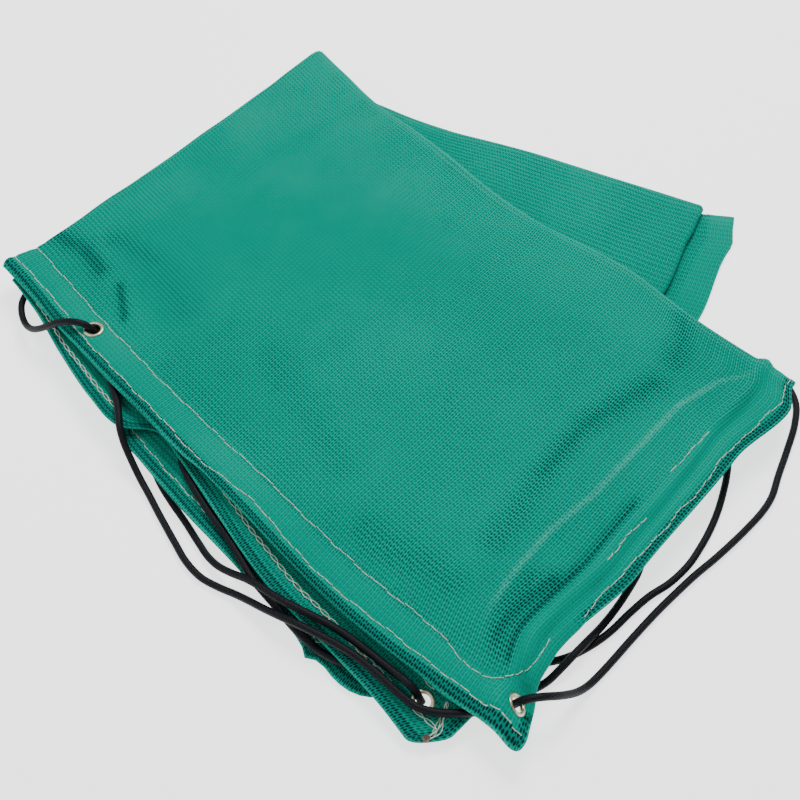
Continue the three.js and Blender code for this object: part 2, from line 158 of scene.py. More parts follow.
# Hems at the front, as (x, y) or (x, y, height of the cloth there)
TOP_UPPER_HEM = (
    (-0.288, -0.194, 0.0375), (-0.23, -0.199, 0.038), (-0.16, -0.204, 0.0395),
    (-0.095, -0.207, 0.0405), (0.022, -0.21, 0.036), (0.141, -0.215, 0.032),
    (0.212, -0.21, 0.0295), (0.265, -0.202, 0.029), (0.319, -0.191, 0.026),
)
TOP_LOWER_HEM = (
    (-0.286, -0.197, 0.0285), (-0.238, -0.204, 0.028), (-0.19, -0.215, 0.027),
    (-0.132, -0.225, 0.026), (-0.092, -0.226, 0.0255), (-0.064, -0.207, 0.0255),
    (-0.032, -0.21, 0.0245), (0.027, -0.221, 0.0225), (0.101, -0.233, 0.019),
    (0.167, -0.235, 0.0165), (0.224, -0.237, 0.013), (0.266, -0.242, 0.008),
)
SECOND_UPPER_HEM = (
    (-0.286, -0.195, 0.0198), (-0.15, -0.2, 0.0185), (-0.112, -0.21, 0.0175),
    (-0.082, -0.229, 0.0162), (-0.058, -0.2315, 0.016), (-0.001, -0.236, 0.014),
    (0.078, -0.238, 0.01), (0.152, -0.2442, 0.005), (0.1625, -0.2492, 0.0042),
    (0.17, -0.244, 0.004), (0.1915, -0.2452, 0.0038), (0.2075, -0.2424, 0.0042),
    (0.219, -0.236, 0.006),
)
HIDDEN_HEM = (
    (-0.284, -0.188), (-0.04, -0.19), (0.201, -0.19),
)

# How far the right-hand ends stand out from a straight line, as (part of the width, out)
TOP_UPPER_END = (
    (0, 0), (0.06, -0.002), (0.18, -0.017), (0.4, -0.005), (0.75, 0), (0.93, 0.011), (1, 0),
)
TOP_LOWER_END = ((0, 0), (0.06, 0.014), (0.12, 0.014), (0.3, 0.006), (1, 0))
FLAP_END = ((0, 0), (0.5, 0.018), (0.8, 0.014), (0.94, 0.004), (1, 0))
BOTTOM_END = ((0, 0), (0.5, 0.042), (0.75, 0.033), (0.94, 0.015), (1, 0))

# The panels from top to bottom, each with its back fold and its upper and lower ply. Levels are
# ply heights at the left front, right front, left back and right back.
PANELS = (
    {
        "fold": TOP_BACK_FOLD,
        "upper": (TOP_UPPER_HEM, TOP_UPPER_END, (0.0375, 0.028, 0.043, 0.033), TOP_HEM_CURL),
        "lower": (TOP_LOWER_HEM, TOP_LOWER_END, (0.0285, 0.013, 0.036, 0.026), 0),
    },
    {
        "fold": FLAP_BACK_FOLD,
        "upper": (SECOND_UPPER_HEM, FLAP_END, (0.020, 0.0133, 0.027, 0.013), 0),
        "lower": (HIDDEN_HEM, FLAP_END, (0.0157, 0.0098, 0.022, 0.010), 0),
    },
    {
        "fold": FLAP_BACK_FOLD,
        "upper": (HIDDEN_HEM, FLAP_END, (0.0128, 0.008, 0.017, 0.0082), 0),
        "lower": (HIDDEN_HEM, FLAP_END, (0.0092, 0.0051, 0.012, 0.0053), 0),
    },
    {
        "fold": BOTTOM_BACK_FOLD,
        "upper": (HIDDEN_HEM, BOTTOM_END, (0.0054, 0.0034, 0.0065, 0.0035), 0),
        "lower": (HIDDEN_HEM, BOTTOM_END, (0.0006, 0.0006, 0.0006, 0.0006), 0),
    },
)

# Fineness of the cloth: steps along each panel, across each ply, and round each fold
PANEL_STEPS = (150, 60, 20, 28)
PLY_STEPS = (60, 34)
BACK_FOLD_STEPS = 9
END_FOLD_STEPS = 9
HEM_MARKS = (
    0, 0.0011, 0.003, 0.0055, 0.0078, 0.0095, 0.0112, 0.0130, 0.0155, 0.019, 0.0225, 0.026, 0.029,
    0.0318, 0.0335, 0.0352, 0.0375, 0.0405,
)

# Soft creases and ridges of the top ply, as (half width, height, places (u, v) along them)
CREASES = (
    (0.0050, 0.0036, (
        (0.021, 0.050), (0.024, 0.140), (0.026, 0.225), (0.031, 0.316), (0.037, 0.370),
        (0.029, 0.404),
    )),
    (0.0042, -0.0016, ((0.016, 0.130), (0.0175, 0.225), (0.022, 0.316), (0.026, 0.360))),
    (0.0040, 0.0022, ((0.022, 0.060), (0.0295, 0.150), (0.030, 0.205))),
    (0.0040, -0.0030, ((0.033, 0.045), (0.0365, 0.140), (0.038, 0.215))),
    (0.0050, 0.0013, ((0.0115, 0.140), (0.011, 0.380))),
    (0.0200, 0.0020, ((0.095, 0.080), (0.105, 0.360))),
    (0.0060, 0.0012, (
        (0.062, 0.070), (0.074, 0.145), (0.066, 0.240), (0.060, 0.330), (0.064, 0.390),
    )),
    (0.0160, 0.0022, ((0.600, 0.045), (0.545, 0.060))),
    (0.0070, -0.0010, ((0.505, 0.072), (0.380, 0.046))),
    (0.0300, -0.0014, ((0.590, 0.200), (0.480, 0.230))),
    (0.0420, 0.0024, ((0.450, 0.370), (0.270, 0.190))),
    (0.0450, -0.0018, ((0.330, 0.060), (0.140, 0.160))),
    (0.0080, 0.0012, ((0.560, 0.120), (0.520, 0.390))),
    (0.0120, -0.0012, ((0.600, 0.140), (0.604, 0.330))),
    (0.0200, 0.0018, ((0.180, 0.395), (0.130, 0.330))),
)

# Where the top ply stands clear of the one below, painted shade darkens its holes, as (half
# width, how much painted shade, places (u, v) along them)
LOOSE_PLACES = (
    (0.015, 0.90, ((0.612, 0.054), (0.580, 0.0635))),
    (0.013, 0.95, ((0.580, 0.0635), (0.548, 0.062))),
    (0.0070, 1.00, ((0.521, 0.0655), (0.490, 0.048))),
    (0.015, 0.68, ((0.570, 0.091), (0.520, 0.108))),
    (0.026, 0.55, ((0.515, 0.104), (0.455, 0.096))),
    (0.016, 0.75, ((0.110, 0.392), (0.095, 0.350))),
    (0.018, 0.80, ((0.092, 0.320), (0.112, 0.250))),
    (0.015, 0.80, ((0.112, 0.250), (0.110, 0.190))),
    (0.018, 0.65, ((0.110, 0.190), (0.100, 0.120))),
    (0.006, 1.0, ((0.033, 0.045), (0.0365, 0.140))),
    (0.004, 1.0, ((0.0365, 0.140), (0.038, 0.215))),
    (0.014, 0.75, ((0.045, 0.050), (0.056, 0.110))),
    (0.010, 0.9, ((0.048, 0.055), (0.044, 0.120))),
    (0.020, 0.55, ((0.100, 0.070), (0.180, 0.060))),
    (0.014, 0.45, ((0.300, 0.048), (0.420, 0.044))),
    (0.024, 0.40, ((0.240, 0.085), (0.360, 0.120))),
)

# Crease on the cloth whose threads are worn pale and lit with painted sheen, as (v, u), with the v
# and u that its table reaches to, and the part of the far edge, by u, that lies in shade and gets
# no painted sheen
CREASE_SPAN = (0.4, 0.1)
SHADED_EDGE = (0.32, 0.42)
PALE_CREASE = (
    (0.070, 0.0625), (0.120, 0.0717), (0.150, 0.0746), (0.200, 0.0670), (0.260, 0.0660),
    (0.316, 0.0640), (0.343, 0.0600), (0.360, 0.0575), (0.373, 0.0498), (0.390, 0.0340),
)

# Eyelets: node, and u and v on the cloth
EYELETS = (
    ("eyelet_front_corner", 0.0146, 0.0212),
    ("eyelet_left", 0.4990, 0.0200),
    ("eyelet_lower_corner", 0.0323, CLOTH_WIDTH - 0.0224),
)
EYELET_HOLE_RADIUS = 0.0073
EYELET_BORE_RADIUS = 0.0057
EYELET_FLANGE_RADIUS = 0.0090
EYELET_FLANGE = 0.0011
EYELET_BACK_FLANGE = 0.00077
EYELET_WALL = 0.0008
EYELET_STEPS = 56
EYELET_ARC_STEPS = 9

# Points this near to an eyelet's plane belong to the ply that it pierces
PLY_REACH = 0.0022

# Routes of the cord's stretches, as (x, y, height), or (x, y) where the cord lies on the floor
CORD_ON_FLOOR = 0.0033
CORD_SPACING = 0.0022
CORD_SIDES = 20
CORD_ROUTES = {
    "cord_left_loop": (
        (-0.1762, -0.1806, 0.033), (-0.179, -0.1828, 0.0377), (-0.1813, -0.1846, 0.0416),
        (-0.1846, -0.1872, 0.0452), (-0.1894, -0.1908, 0.0469), (-0.196, -0.1956, 0.0464),
        (-0.204, -0.2012, 0.0428), (-0.213, -0.2074, 0.0362), (-0.2236, -0.213, 0.028),
        (-0.2346, -0.2154, 0.0212), (-0.247, -0.2144, 0.0172), (-0.258, -0.2104, 0.0174),
        (-0.2654, -0.2044, 0.0208), (-0.2686, -0.1974, 0.0238), (-0.2696, -0.189, 0.0242),
        (-0.27, -0.18, 0.0242),
    ),
    "cord_front_long": (
        (-0.144, -0.194, 0.0314), (-0.134, -0.201, 0.031), (-0.12, -0.2075, 0.0308),
        (-0.107, -0.2135, 0.0308), (-0.097, -0.2196, 0.0305), (-0.087, -0.2266, 0.0275),
        (-0.076, -0.2318, 0.0205), (-0.063, -0.2358, 0.013), (-0.049, -0.2396, 0.0066),
        (-0.033, -0.2434, 0.0036), (-0.016, -0.248), (0.016, -0.256), (0.036, -0.2605),
        (0.055, -0.261), (0.072, -0.2565, 0.0034), (0.086, -0.252, 0.0055), (0.1, -0.249, 0.0095),
        (0.114, -0.2466, 0.014), (0.129, -0.2434, 0.0185), (0.145, -0.239, 0.0218),
        (0.1615, -0.234, 0.022), (0.177, -0.2295, 0.0215), (0.19, -0.2265, 0.0208),
        (0.205, -0.2245, 0.0199), (0.221, -0.2236, 0.0189), (0.236, -0.223, 0.0182),
        (0.25, -0.221, 0.0178), (0.262, -0.2145, 0.0178), (0.2725, -0.2055, 0.0181),
        (0.282, -0.195, 0.018), (0.2895, -0.1852, 0.0178), (0.2946, -0.1792, 0.0194),
        (0.2977, -0.1757, 0.023), (0.2997, -0.1734, 0.0268), (0.3017, -0.1712, 0.0306),
        (0.3045, -0.168, 0.034), (0.3082, -0.1636, 0.0354), (0.3126, -0.1574, 0.0342),
        (0.317, -0.1496, 0.029), (0.3206, -0.14, 0.0204), (0.3232, -0.1295, 0.0114),
        (0.3246, -0.118, 0.0052), (0.325, -0.106), (0.325, -0.09), (0.3245, -0.066),
        (0.3245, -0.036), (0.3255, -0.012), (0.327, 0.011), (0.3295, 0.033), (0.331, 0.052),
        (0.332, 0.072), (0.332, 0.096), (0.3295, 0.113), (0.322, 0.134), (0.313, 0.161),
        (0.303, 0.188), (0.291, 0.208), (0.274, 0.219), (0.254, 0.219), (0.236, 0.208),
        (0.222, 0.19),
    ),
    "cord_front_middle": (
        (-0.086, -0.205), (-0.072, -0.214), (-0.056, -0.2225), (-0.038, -0.2295),
        (-0.016, -0.2345), (0.008, -0.2385), (0.03, -0.243, 0.0034), (0.046, -0.246, 0.005),
        (0.06, -0.2464, 0.0086), (0.074, -0.2442, 0.0134), (0.087, -0.241, 0.018),
        (0.1, -0.2386, 0.021), (0.113, -0.2368, 0.0228), (0.126, -0.2342, 0.024),
        (0.138, -0.2306, 0.024), (0.15, -0.2266, 0.023), (0.162, -0.2228, 0.0222),
        (0.175, -0.22, 0.0216), (0.188, -0.218, 0.0208), (0.202, -0.2164, 0.02),
        (0.214, -0.2154, 0.02), (0.224, -0.2148, 0.0212), (0.2324, -0.2144, 0.0222),
        (0.2386, -0.2141, 0.0211), (0.2431, -0.214, 0.0174), (0.2458, -0.2139, 0.0133),
        (0.2483, -0.2139, 0.0095),
    ),
    "cord_front_inner": (
        (-0.038, -0.204, 0.02), (-0.025, -0.211, 0.0196), (-0.004, -0.2175, 0.0188),
        (0.012, -0.221, 0.018), (0.028, -0.224, 0.0172), (0.04, -0.2255, 0.0166),
        (0.054, -0.228, 0.016), (0.067, -0.231, 0.0153), (0.079, -0.234, 0.0144),
        (0.09, -0.2365, 0.0136), (0.101, -0.2375, 0.0129), (0.114, -0.2383, 0.012),
        (0.127, -0.2393, 0.0112), (0.139, -0.2402, 0.0104), (0.151, -0.2403, 0.0097),
        (0.163, -0.2396, 0.0093), (0.174, -0.2376, 0.0096), (0.184, -0.2348, 0.0104),
        (0.191, -0.2315, 0.0112),
    ),
    "cord_right_outer": (
        (0.182, 0.125, 0.0076), (0.192, 0.128, 0.0076), (0.204, 0.1306, 0.0066),
        (0.217, 0.1324, 0.0043), (0.231, 0.1334), (0.245, 0.1334), (0.258, 0.132),
        (0.271, 0.1285), (0.281, 0.121), (0.2895, 0.108), (0.297, 0.093), (0.306, 0.071),
        (0.312, 0.051), (0.3155, 0.034), (0.318, 0.015), (0.317, -0.008), (0.3125, -0.029),
        (0.3105, -0.05), (0.3095, -0.072), (0.3065, -0.09), (0.3005, -0.109), (0.292, -0.124),
        (0.28, -0.137),
    ),
    "cord_right_inner": (
        (0.276, 0.008), (0.286, -0.002), (0.2935, -0.017), (0.298, -0.037),
        (0.301, -0.058, 0.0034), (0.3025, -0.077, 0.0055), (0.303, -0.093, 0.0096),
        (0.303, -0.108, 0.0108), (0.3025, -0.123, 0.008), (0.301, -0.137, 0.004), (0.2965, -0.15),
        (0.287, -0.161),
    ),
}


def from_far_edge(run):
    """A run whose places (u, back) are measured from the second long edge, as places (u, v)."""
    return tuple((u, CLOTH_WIDTH - back) for u, back in run)


# Sewn lines, as places (u, v) along them, from the two long edges and the free end. Plain
# stitches show on the front of the cloth, chain stitches on its reverse.
PLAIN_RUNS = (
    ((0.622, 0.0125), (0.580, 0.0128), (0.530, 0.0112), (0.490, 0.0088), (0.400, 0.0085),
     (0.330, 0.0068), (0.295, 0.0112), (0.268, 0.0145), (0.200, 0.0115), (0.128, 0.0134),
     (0.069, 0.0112), (0.024, 0.0085), (0.0040, 0.0095), (0.0036, 0.0175)),
    ((0.622, 0.0330), (0.500, 0.0322), (0.400, 0.0320), (0.280, 0.0350), (0.160, 0.0360),
     (0.100, 0.0352), (0.078, 0.0318), (0.064, 0.0270), (0.052, 0.0250), (0.041, 0.0276),
     (0.030, 0.0345), (0.021, 0.0420), (0.0135, 0.0500), (0.0095, 0.0630), (0.0135, 0.0830)),
    ((0.0250, 0.1550), (0.0255, 0.1800), (0.0240, 0.2080)),
    ((0.0330, 0.2560), (0.0318, 0.2810), (0.0308, 0.3160)),
    ((0.0040, 0.1050), (0.0085, 0.1200), (0.0102, 0.1400), (0.0085, 0.1750), (0.0072, 0.2050),
     (0.0085, 0.2320), (0.0060, 0.2540), (0.0095, 0.2900), (0.0082, 0.3200), (0.0110, 0.3640),
     (0.0060, 0.3980), (0.0100, 0.5000), (0.0110, 0.7800)),
    from_far_edge(((0.640, 0.0085), (0.900, 0.0100), (1.230, 0.0100))),
    from_far_edge(((0.640, 0.0310), (0.900, 0.0330), (1.230, 0.0330))),
)
CHAIN_RUNS = tuple(map(from_far_edge, (
    ((0.010, 0.0180), (0.039, 0.0142), (0.080, 0.0146), (0.143, 0.0150), (0.200, 0.0150),
     (0.330, 0.0130)),
    ((0.412, 0.0110), (0.475, 0.0088), (0.527, 0.0064), (0.600, 0.0060)),
    ((0.034, 0.0330), (0.100, 0.0345), (0.300, 0.0335), (0.600, 0.0280)),
)))

# Plain stitches: how far they wander and bow sideways and sink at their ends
STITCH_LENGTH = 0.0086
STITCH_SWAY = (0.0007, 0.0004)
STITCH_BOW = 0.0005
STITCH_BITE = 0.0011
STITCH_POINTS = 7

# Chain stitches: how far their two threads spread, rise and wander
CHAIN_LENGTH = 0.0105
CHAIN_SPREAD = 0.0011
CHAIN_RISE = 0.0003
CHAIN_SWAY = 0.0003
CHAIN_OVERLAP = 0.12
CHAIN_POINTS = 8
EDGE_MARGIN = 0.001

THREAD_RADIUS = 0.00039
THREAD_RISE = HEM_THICKNESS / 2 + THREAD_RADIUS

# Loose thread ends at the lower corner, and the knob that they are melted into
LOOSE_START = (0.0200, CLOTH_WIDTH - 0.0340)
LOOSE_FINISH = (0.0026, CLOTH_WIDTH - 0.0100)
LOOSE_STRANDS = 5
LOOSE_POINTS = 26
LOOSE_SPREAD = 0.0009
LOOSE_SWAY = 0.0008
LOOSE_RISE = 0.0004
KNOB_PLACE = (0.0030, CLOTH_WIDTH - 0.0100)
KNOB_RADIUS = 0.0026
KNOB_LIFT = 0.6
KNOB_LUMP = 0.35
KNOB_LUMP_FINENESS = 1.3

# Camera, for a square picture
CAMERA_PLACE = (0.4444, -0.4872, 0.776)
CAMERA_TURN = (math.radians(36), 0, math.radians(44.7))
CAMERA_LENS = 49.5
CAMERA_SENSOR = 36

# Soft lights, as (name, place, side of the light, part of the key light's power)
LAMPS = (
    ("key light", (-0.35, 0.70, 1.65), 0.8, 1),
    ("front light", (-0.8, -1.2, 1.6), 1.6, 0.35),
)

# How far the mesh's lines wander, and the cord's braid
MESH_DRIFT = 0.006
STRAND_LENGTH = 0.0042
STRANDS_AROUND = 8

TURN = 2 * math.pi


def smooth(value):
    value = np.clip(value, 0, 1)
    return value * value * (3 - 2 * value)


def mix(a, b, part):
    return a + (b - a) * part


class Line:
    """A smooth line through a table's points, read by the part of its length."""

    STEPS = 24

    def __init__(self, rows):
        rows = np.array([tuple(row) + (0,) * (3 - len(row)) for row in rows], float)
        before = 2 * rows[0] - rows[1]
        after = 2 * rows[-1] - rows[-2]
        ends = np.vstack([before, rows, after])
        dense = [rows[0]]
        for index in range(len(rows) - 1):
            dense.extend(self.piece(ends[index:index + 4]))
        self.points = np.array(dense)
        reach = np.linalg.norm(np.diff(self.points, axis=0), axis=1)
        self.reach = np.concatenate(([0], np.cumsum(reach)))
        self.length = self.reach[-1]

    def piece(self, p):
        gaps = np.sqrt(np.linalg.norm(np.diff(p, axis=0), axis=1))
        slopes = np.diff(p, axis=0) / gaps[:, None]
        wide = (p[2:] - p[:-2]) / (gaps[1:] + gaps[:-1])[:, None]
        first = (slopes[0] - wide[0] + slopes[1]) * gaps[1]
        last = (slopes[1] - wide[1] + slopes[2]) * gaps[1]
        t = (np.arange(1, self.STEPS + 1) / self.STEPS)[:, None]
        cubic = 2 * (p[1] - p[2]) + first + last
        square = 3 * (p[2] - p[1]) - 2 * first - last
        return p[1] + first * t + square * t ** 2 + cubic * t ** 3

    def at(self, part):
        place = np.asarray(part) * self.length
        return np.stack([np.interp(place, self.reach, self.points[:, k]) for k in range(3)], -1)

    def direction(self, part):
        step = self.at(min(part + 0.002, 1)) - self.at(max(part - 0.002, 0))
        return step / np.linalg.norm(step)


@functools.lru_cache(maxsize=None)
def line_through(rows):
    return Line(rows)


def end_shape(rows, across):
    result = np.zeros_like(across)
    for (start, out), (finish, next_out) in zip(rows, rows[1:]):
        inside = (across >= start) & (across <= finish)
        part = smooth((across - start) / (finish - start))
        result = np.where(inside, mix(out, next_out, part), result)
    return result


def ply_points(panel, side, along, across):
    """Middle of a ply at one place along its length, from the hem to the fold."""
    hem_rows, end_rows, level, curl = PANELS[panel][side]
    hem = line_through(hem_rows).at(along)
    fold = line_through(PANELS[panel]["fold"]).at(along)
    points = mix(hem, fold, across[:, None])
    points[:, 0] += end_shape(end_rows, across) * along ** END_FADE
    front = mix(level[0], level[1], along)
    back = mix(level[2], level[3], along)
    height = mix(front, back, across)
    inward = across * np.linalg.norm(fold - hem)
    if len(hem_rows[0]) == 3:
        height = mix(hem[2], height, smooth(inward / HEM_LIFT_REACH))
    height -= curl * np.maximum(0, 1 - inward / CURL_WIDTH) ** 2
    points[:, 2] = height
    return points - np.array(PLAN_ORIGIN)


def half_round(start, finish, turns, outward):
    """Points on the way round a fold from one ply to the other."""
    turns = turns[:, None]
    radius = (start[2] - finish[2]) / 2
    points = mix(start, finish, (1 - np.cos(turns)) / 2)
    points[:, 2] = (start[2] + finish[2]) / 2 + radius * np.cos(turns[:, 0])
    return points + outward * abs(radius) * np.sin(turns)


def hem_divided(length, steps):
    """Parts of a length from its hem, close together in the hem and even past it."""
    marks = np.array(HEM_MARKS) / length
    return np.concatenate((marks, np.linspace(marks[-1], 1, steps)[1:]))


class FoldedCloth:
    """The folded net as one grid of points over the flat cloth."""

    def __init__(self, wave_height):
        self.across = [hem_divided(PLY_WIDTH, steps) for steps in PLY_STEPS]
        self.round = np.arange(1, BACK_FOLD_STEPS) / BACK_FOLD_STEPS
        near, far = (across * PLY_WIDTH for across in self.across)
        bend = PLY_WIDTH + self.round * BACK_FOLD_LENGTH
        self.v = np.concatenate((near, bend, (CLOTH_WIDTH - far)[::-1]))
        rows = []
        self.u = []
        self.panel = []
        for panel in range(len(PANELS)):
            self.add_panel(rows, panel)
            if panel + 1 < len(PANELS):
                self.add_end_fold(rows, panel)
        middle = np.array(rows)
        self.u = np.array(self.u)
        self.panel = np.array(self.panel)
        self.flat = np.stack(np.meshgrid(self.u, self.v, indexing="ij"), -1)
        middle = self.shaped_edges(middle)
        normals = self.normals_of(middle)
        relief = self.relief(middle, wave_height)
        self.points = middle + normals * relief[..., None]
        self.normals = self.normals_of(self.points)

    def shaped_edges(self, points):
        """Round the corners, roll the hems in and shape the front and left corners."""
        u, v = self.flat[..., 0], self.flat[..., 1]
        points = self.rounded_corners(points)
        rolled = between(u, EDGE_ROLL_REACH, EDGE_ROLL_FADE)
        roll = np.maximum(0, 1 - v / EDGE_ROLL_WIDTH) ** 2 * rolled
        inward = points[:, WAY_IN_COLUMNS] - points[:, 0]
        inward = inward / np.linalg.norm(inward, axis=1)[:, None]
        points = points + inward[:, None, :] * (EDGE_ROLL * roll)[..., None]
        rolled = between(v, END_ROLL_REACH, END_ROLL_FADE)
        points[..., 2] -= END_ROLL * np.maximum(0, 1 - u / END_ROLL_WIDTH) ** 2 * rolled
        _, eyelet_u, eyelet_v = EYELETS[0]
        reach = np.hypot(u - eyelet_u, v - eyelet_v) / CORNER_LEAN_REACH
        lean = CORNER_LEAN * ((u - eyelet_u) - (v - eyelet_v)) / math.sqrt(2)
        points[..., 2] += lean * np.exp(-reach ** 4)
        tip = TIP_OUT * np.exp(-(np.hypot(u, v) / TIP_REACH) ** 2) / math.sqrt(2)
        points[..., :2] += tip[..., None] * (1, -1)
        waist = np.hypot(u, v - WAIST_PLACE) / WAIST_REACH
        points[..., 0] -= WAIST_IN * np.exp(-waist ** 2)
        left = PANEL_LENGTH + END_FOLD_LENGTH / 2
        reach = np.hypot(u - left, v) / LEFT_CORNER_REACH
        points[..., 0] -= LEFT_CORNER_OUT * np.exp(-reach ** 2)
        return points

    def rounded_corners(self, points):
        u = np.minimum(self.flat[..., 0], CLOTH_LENGTH - self.flat[..., 0])
        v = np.minimum(self.flat[..., 1], CLOTH_WIDTH - self.flat[..., 1])
        offset = CORNER_ROUND - np.stack((u, v), -1)
        result = points.copy()
        for i, j in np.argwhere((offset > 0).all(-1)):
            scale = offset[i, j].max() / np.linalg.norm(offset[i, j])
            near = CORNER_ROUND - offset[i, j] * scale
            far_u, far_v = self.flat[i, j] > (CLOTH_LENGTH / 2, CLOTH_WIDTH / 2)
            at_u = CLOTH_LENGTH - near[0] if far_u else near[0]
            at_v = CLOTH_WIDTH - near[1] if far_v else near[1]
            result[i, j] = self.between_points(points, at_u, at_v)
        return result

    def between_points(self, grid, u, v):
        i, s = self.cell(self.u, u)
        j, t = self.cell(self.v, v)
        near = mix(grid[i, j], grid[i, j + 1], t)
        return mix(near, mix(grid[i + 1, j], grid[i + 1, j + 1], t), s)

    def add_panel(self, rows, panel):
        free = panel in (0, len(PANELS) - 1)
        if free:
            parts = hem_divided(PANEL_LENGTH, PANEL_STEPS[panel])
        else:
            parts = np.linspace(0, 1, PANEL_STEPS[panel])
        alongs = 1 - parts
        if panel % 2:
            alongs = alongs[::-1]
        start = panel * (PANEL_LENGTH + END_FOLD_LENGTH)
        for along in alongs:
            rows.append(self.row(panel, along))
            run = along if panel % 2 else 1 - along
            self.u.append(start + run * PANEL_LENGTH)
            self.panel.append(panel)

    def add_end_fold(self, rows, panel):
        along = 0 if panel % 2 == 0 else 1
        outward = np.array([-1 if along == 0 else 1, 0, 0])
        start, finish = self.row(panel, along), self.row(panel + 1, along)
        turns = np.arange(1, END_FOLD_STEPS) / END_FOLD_STEPS
        arcs = [half_round(a, b, turns * math.pi, outward) for a, b in zip(start, finish)]
        begin = panel * (PANEL_LENGTH + END_FOLD_LENGTH) + PANEL_LENGTH
        for index, turn in enumerate(turns):
            rows.append(np.array([arc[index] for arc in arcs]))
            self.u.append(begin + turn * END_FOLD_LENGTH)
            self.panel.append(panel)

    def row(self, panel, along):
        sides = ("upper", "lower") if panel % 2 == 0 else ("lower", "upper")
        first, second = (
            ply_points(panel, side, along, across) for side, across in zip(sides, self.across)
        )
        direction = line_through(PANELS[panel]["fold"]).direction(along)
        outward = np.array([-direction[1], direction[0], 0])
        bend = half_round(first[-1], second[-1], self.round * math.pi, outward)
        return np.vstack((first, bend, second[::-1]))

    def normals_of(self, points):
        along = np.gradient(points, axis=0)
        across = np.gradient(points, axis=1)
        normals = np.cross(across, along)
        return normals / np.linalg.norm(normals, axis=2)[..., None]

    def edge_distances(self):
        """How far each place is from a long edge, from an end, and from the nearer of them."""
        to_side = np.minimum(self.v, CLOTH_WIDTH - self.v)[None, :]
        to_end = np.minimum(self.u, CLOTH_LENGTH - self.u)[:, None]
        return to_side, to_end, np.minimum(to_side, to_end)

    def on_top(self):
        return (self.panel == 0)[:, None] & (self.v < PLY_WIDTH + BACK_FOLD_LENGTH / 2)[None, :]

    def relief(self, points, wave_height):
        _, _, inward = self.edge_distances()
        height = -HEM_SINK * (inward < HEM_WIDTH) + 0.0
        flat = self.flat
        sewn = np.full(inward.shape, 1.0)
        for run in PLAIN_RUNS + CHAIN_RUNS:
            sewn = np.minimum(sewn, distance_from(flat, run))
        slant = TURN * flat.sum(-1)
        drift = PUCKER_DRIFT * np.sin(slant / PUCKER_DRIFT_LENGTH)
        pucker = PUCKER_HEIGHT * np.sin(slant / PUCKER_LENGTH + drift)
        height = height - DENT_DEPTH * np.exp(-(sewn / DENT_REACH) ** 2)
        height = height + pucker * np.exp(-(sewn / PUCKER_REACH) ** 2)
        start, rise = FULLNESS_REACH
        band = smooth((sewn - start) / rise) * smooth((HEM_WIDTH - inward) / HEM_FADE)
        height = height + HEM_FULLNESS * band
        upright = np.where((self.panel % 2 == 0)[:, None] == (self.v < PLY_WIDTH)[None, :], 1, -1)
        height = height + upright * self.waves(points, wave_height)
        for width, rise, places in CREASES:
            height = height + self.on_top() * rise * nearness(flat, places, width)
        return height * self.away_from_eyelets()

    def waves(self, points, wave_height):
        result = np.zeros(points.shape[:2])
        for i, row in enumerate(points):
            for j, (x, y, z) in enumerate(row):
                for across, deep, shift, layer, part in WAVES:
                    result[i, j] += part * noise.noise((x * across + shift, y * deep, layer))
                result[i, j] *= min(z / WAVE_FULL_HEIGHT, 1) ** 1.5
        return result * wave_height

    def away_from_eyelets(self):
        mask = np.ones((len(self.u), len(self.v)))
        for _, u, v in EYELETS:
            reach = np.hypot(self.u[:, None] - u, self.v[None, :] - v)
            mask = mask * smooth((reach - EYELET_FLANGE_RADIUS) / EYELET_CALM)
        return mask

    def darkness(self):
        """Painted shade in the holes: 0 where the ply below touches, 1 where nothing is near."""
        to_side, to_end, edge = self.edge_distances()
        flat = self.flat
        dark = np.full(edge.shape, RESTING_HOLE_SHADE)
        # The painted shade varies softly from place to place
        for i, row in enumerate(flat):
            for j, (u, v) in enumerate(row):
                patch = noise.noise((u * 16, v * 13, 2)) + 0.6 * noise.noise((u * 45, v * 30, 7))
                dark[i, j] += HOLE_SHADE_VARIES * patch
        for width, depth, places in LOOSE_PLACES:
            dark = np.maximum(dark, self.on_top() * depth * nearness(flat, places, width))
        # Painted shade in the holes of the lower plies' hems, under the plies above
        lower = ~self.on_top() & (self.panel <= 1)[:, None] & (to_side < LOWER_HEM_REACH)
        dark = np.where(lower, np.maximum(dark, LOWER_HEM_SHADE), dark)
        hem = smooth((HEM_WIDTH - SOFT_END - edge) / HEM_FADE)
        dark = dark * (1 - hem * np.where(lower, *CALM_HEM))
        # Painted shade in the holes of the strip along the outer edge, left off where the free end
        # rolls down
        strip = smooth((STRIP_WIDTH - edge) / HEM_FADE)
        strip = strip * smooth((edge - STRIP_START) / STRIP_FADE)
        rolled = self.on_top() * between(flat[..., 1], ROLLED_END, SOFT_END) * (to_side > to_end)
        strip = strip * (1 - rolled) * (self.panel <= 1)[:, None]
        return np.clip(np.maximum(dark, STRIP_SHADE * strip), 0, 1)

    def place(self, u, v):
        """Point and front normal of the cloth's middle at a place on the flat cloth."""
        point, normal = (self.between_points(grid, u, v) for grid in (self.points, self.normals))
        return point, normal / np.linalg.norm(normal)

    @staticmethod
    def cell(marks, value):
        index = int(np.clip(np.searchsorted(marks, value) - 1, 0, len(marks) - 2))
        return index, (value - marks[index]) / (marks[index + 1] - marks[index])


def between(value, reach, soft):
    """1 between the two ends of a reach, with soft ends."""
    return smooth((value - reach[0]) / soft) * smooth((reach[1] - value) / soft)


def distance_from(flat, places):
    """How far each point is from the line through the places."""
    reach = np.full(flat.shape[:-1], 1.0)
    places = np.array(places)
    for start, finish in zip(places, places[1:]):
        run = finish - start
        part = np.clip(((flat - start) @ run) / (run @ run), 0, 1)
        reach = np.minimum(reach, np.linalg.norm(flat - start - part[..., None] * run, axis=-1))
    return reach


def nearness(flat, places, width):
    """1 on a line, falling softly to 0 past its half width."""
    return np.exp(-(distance_from(flat, places) / width) ** 2)


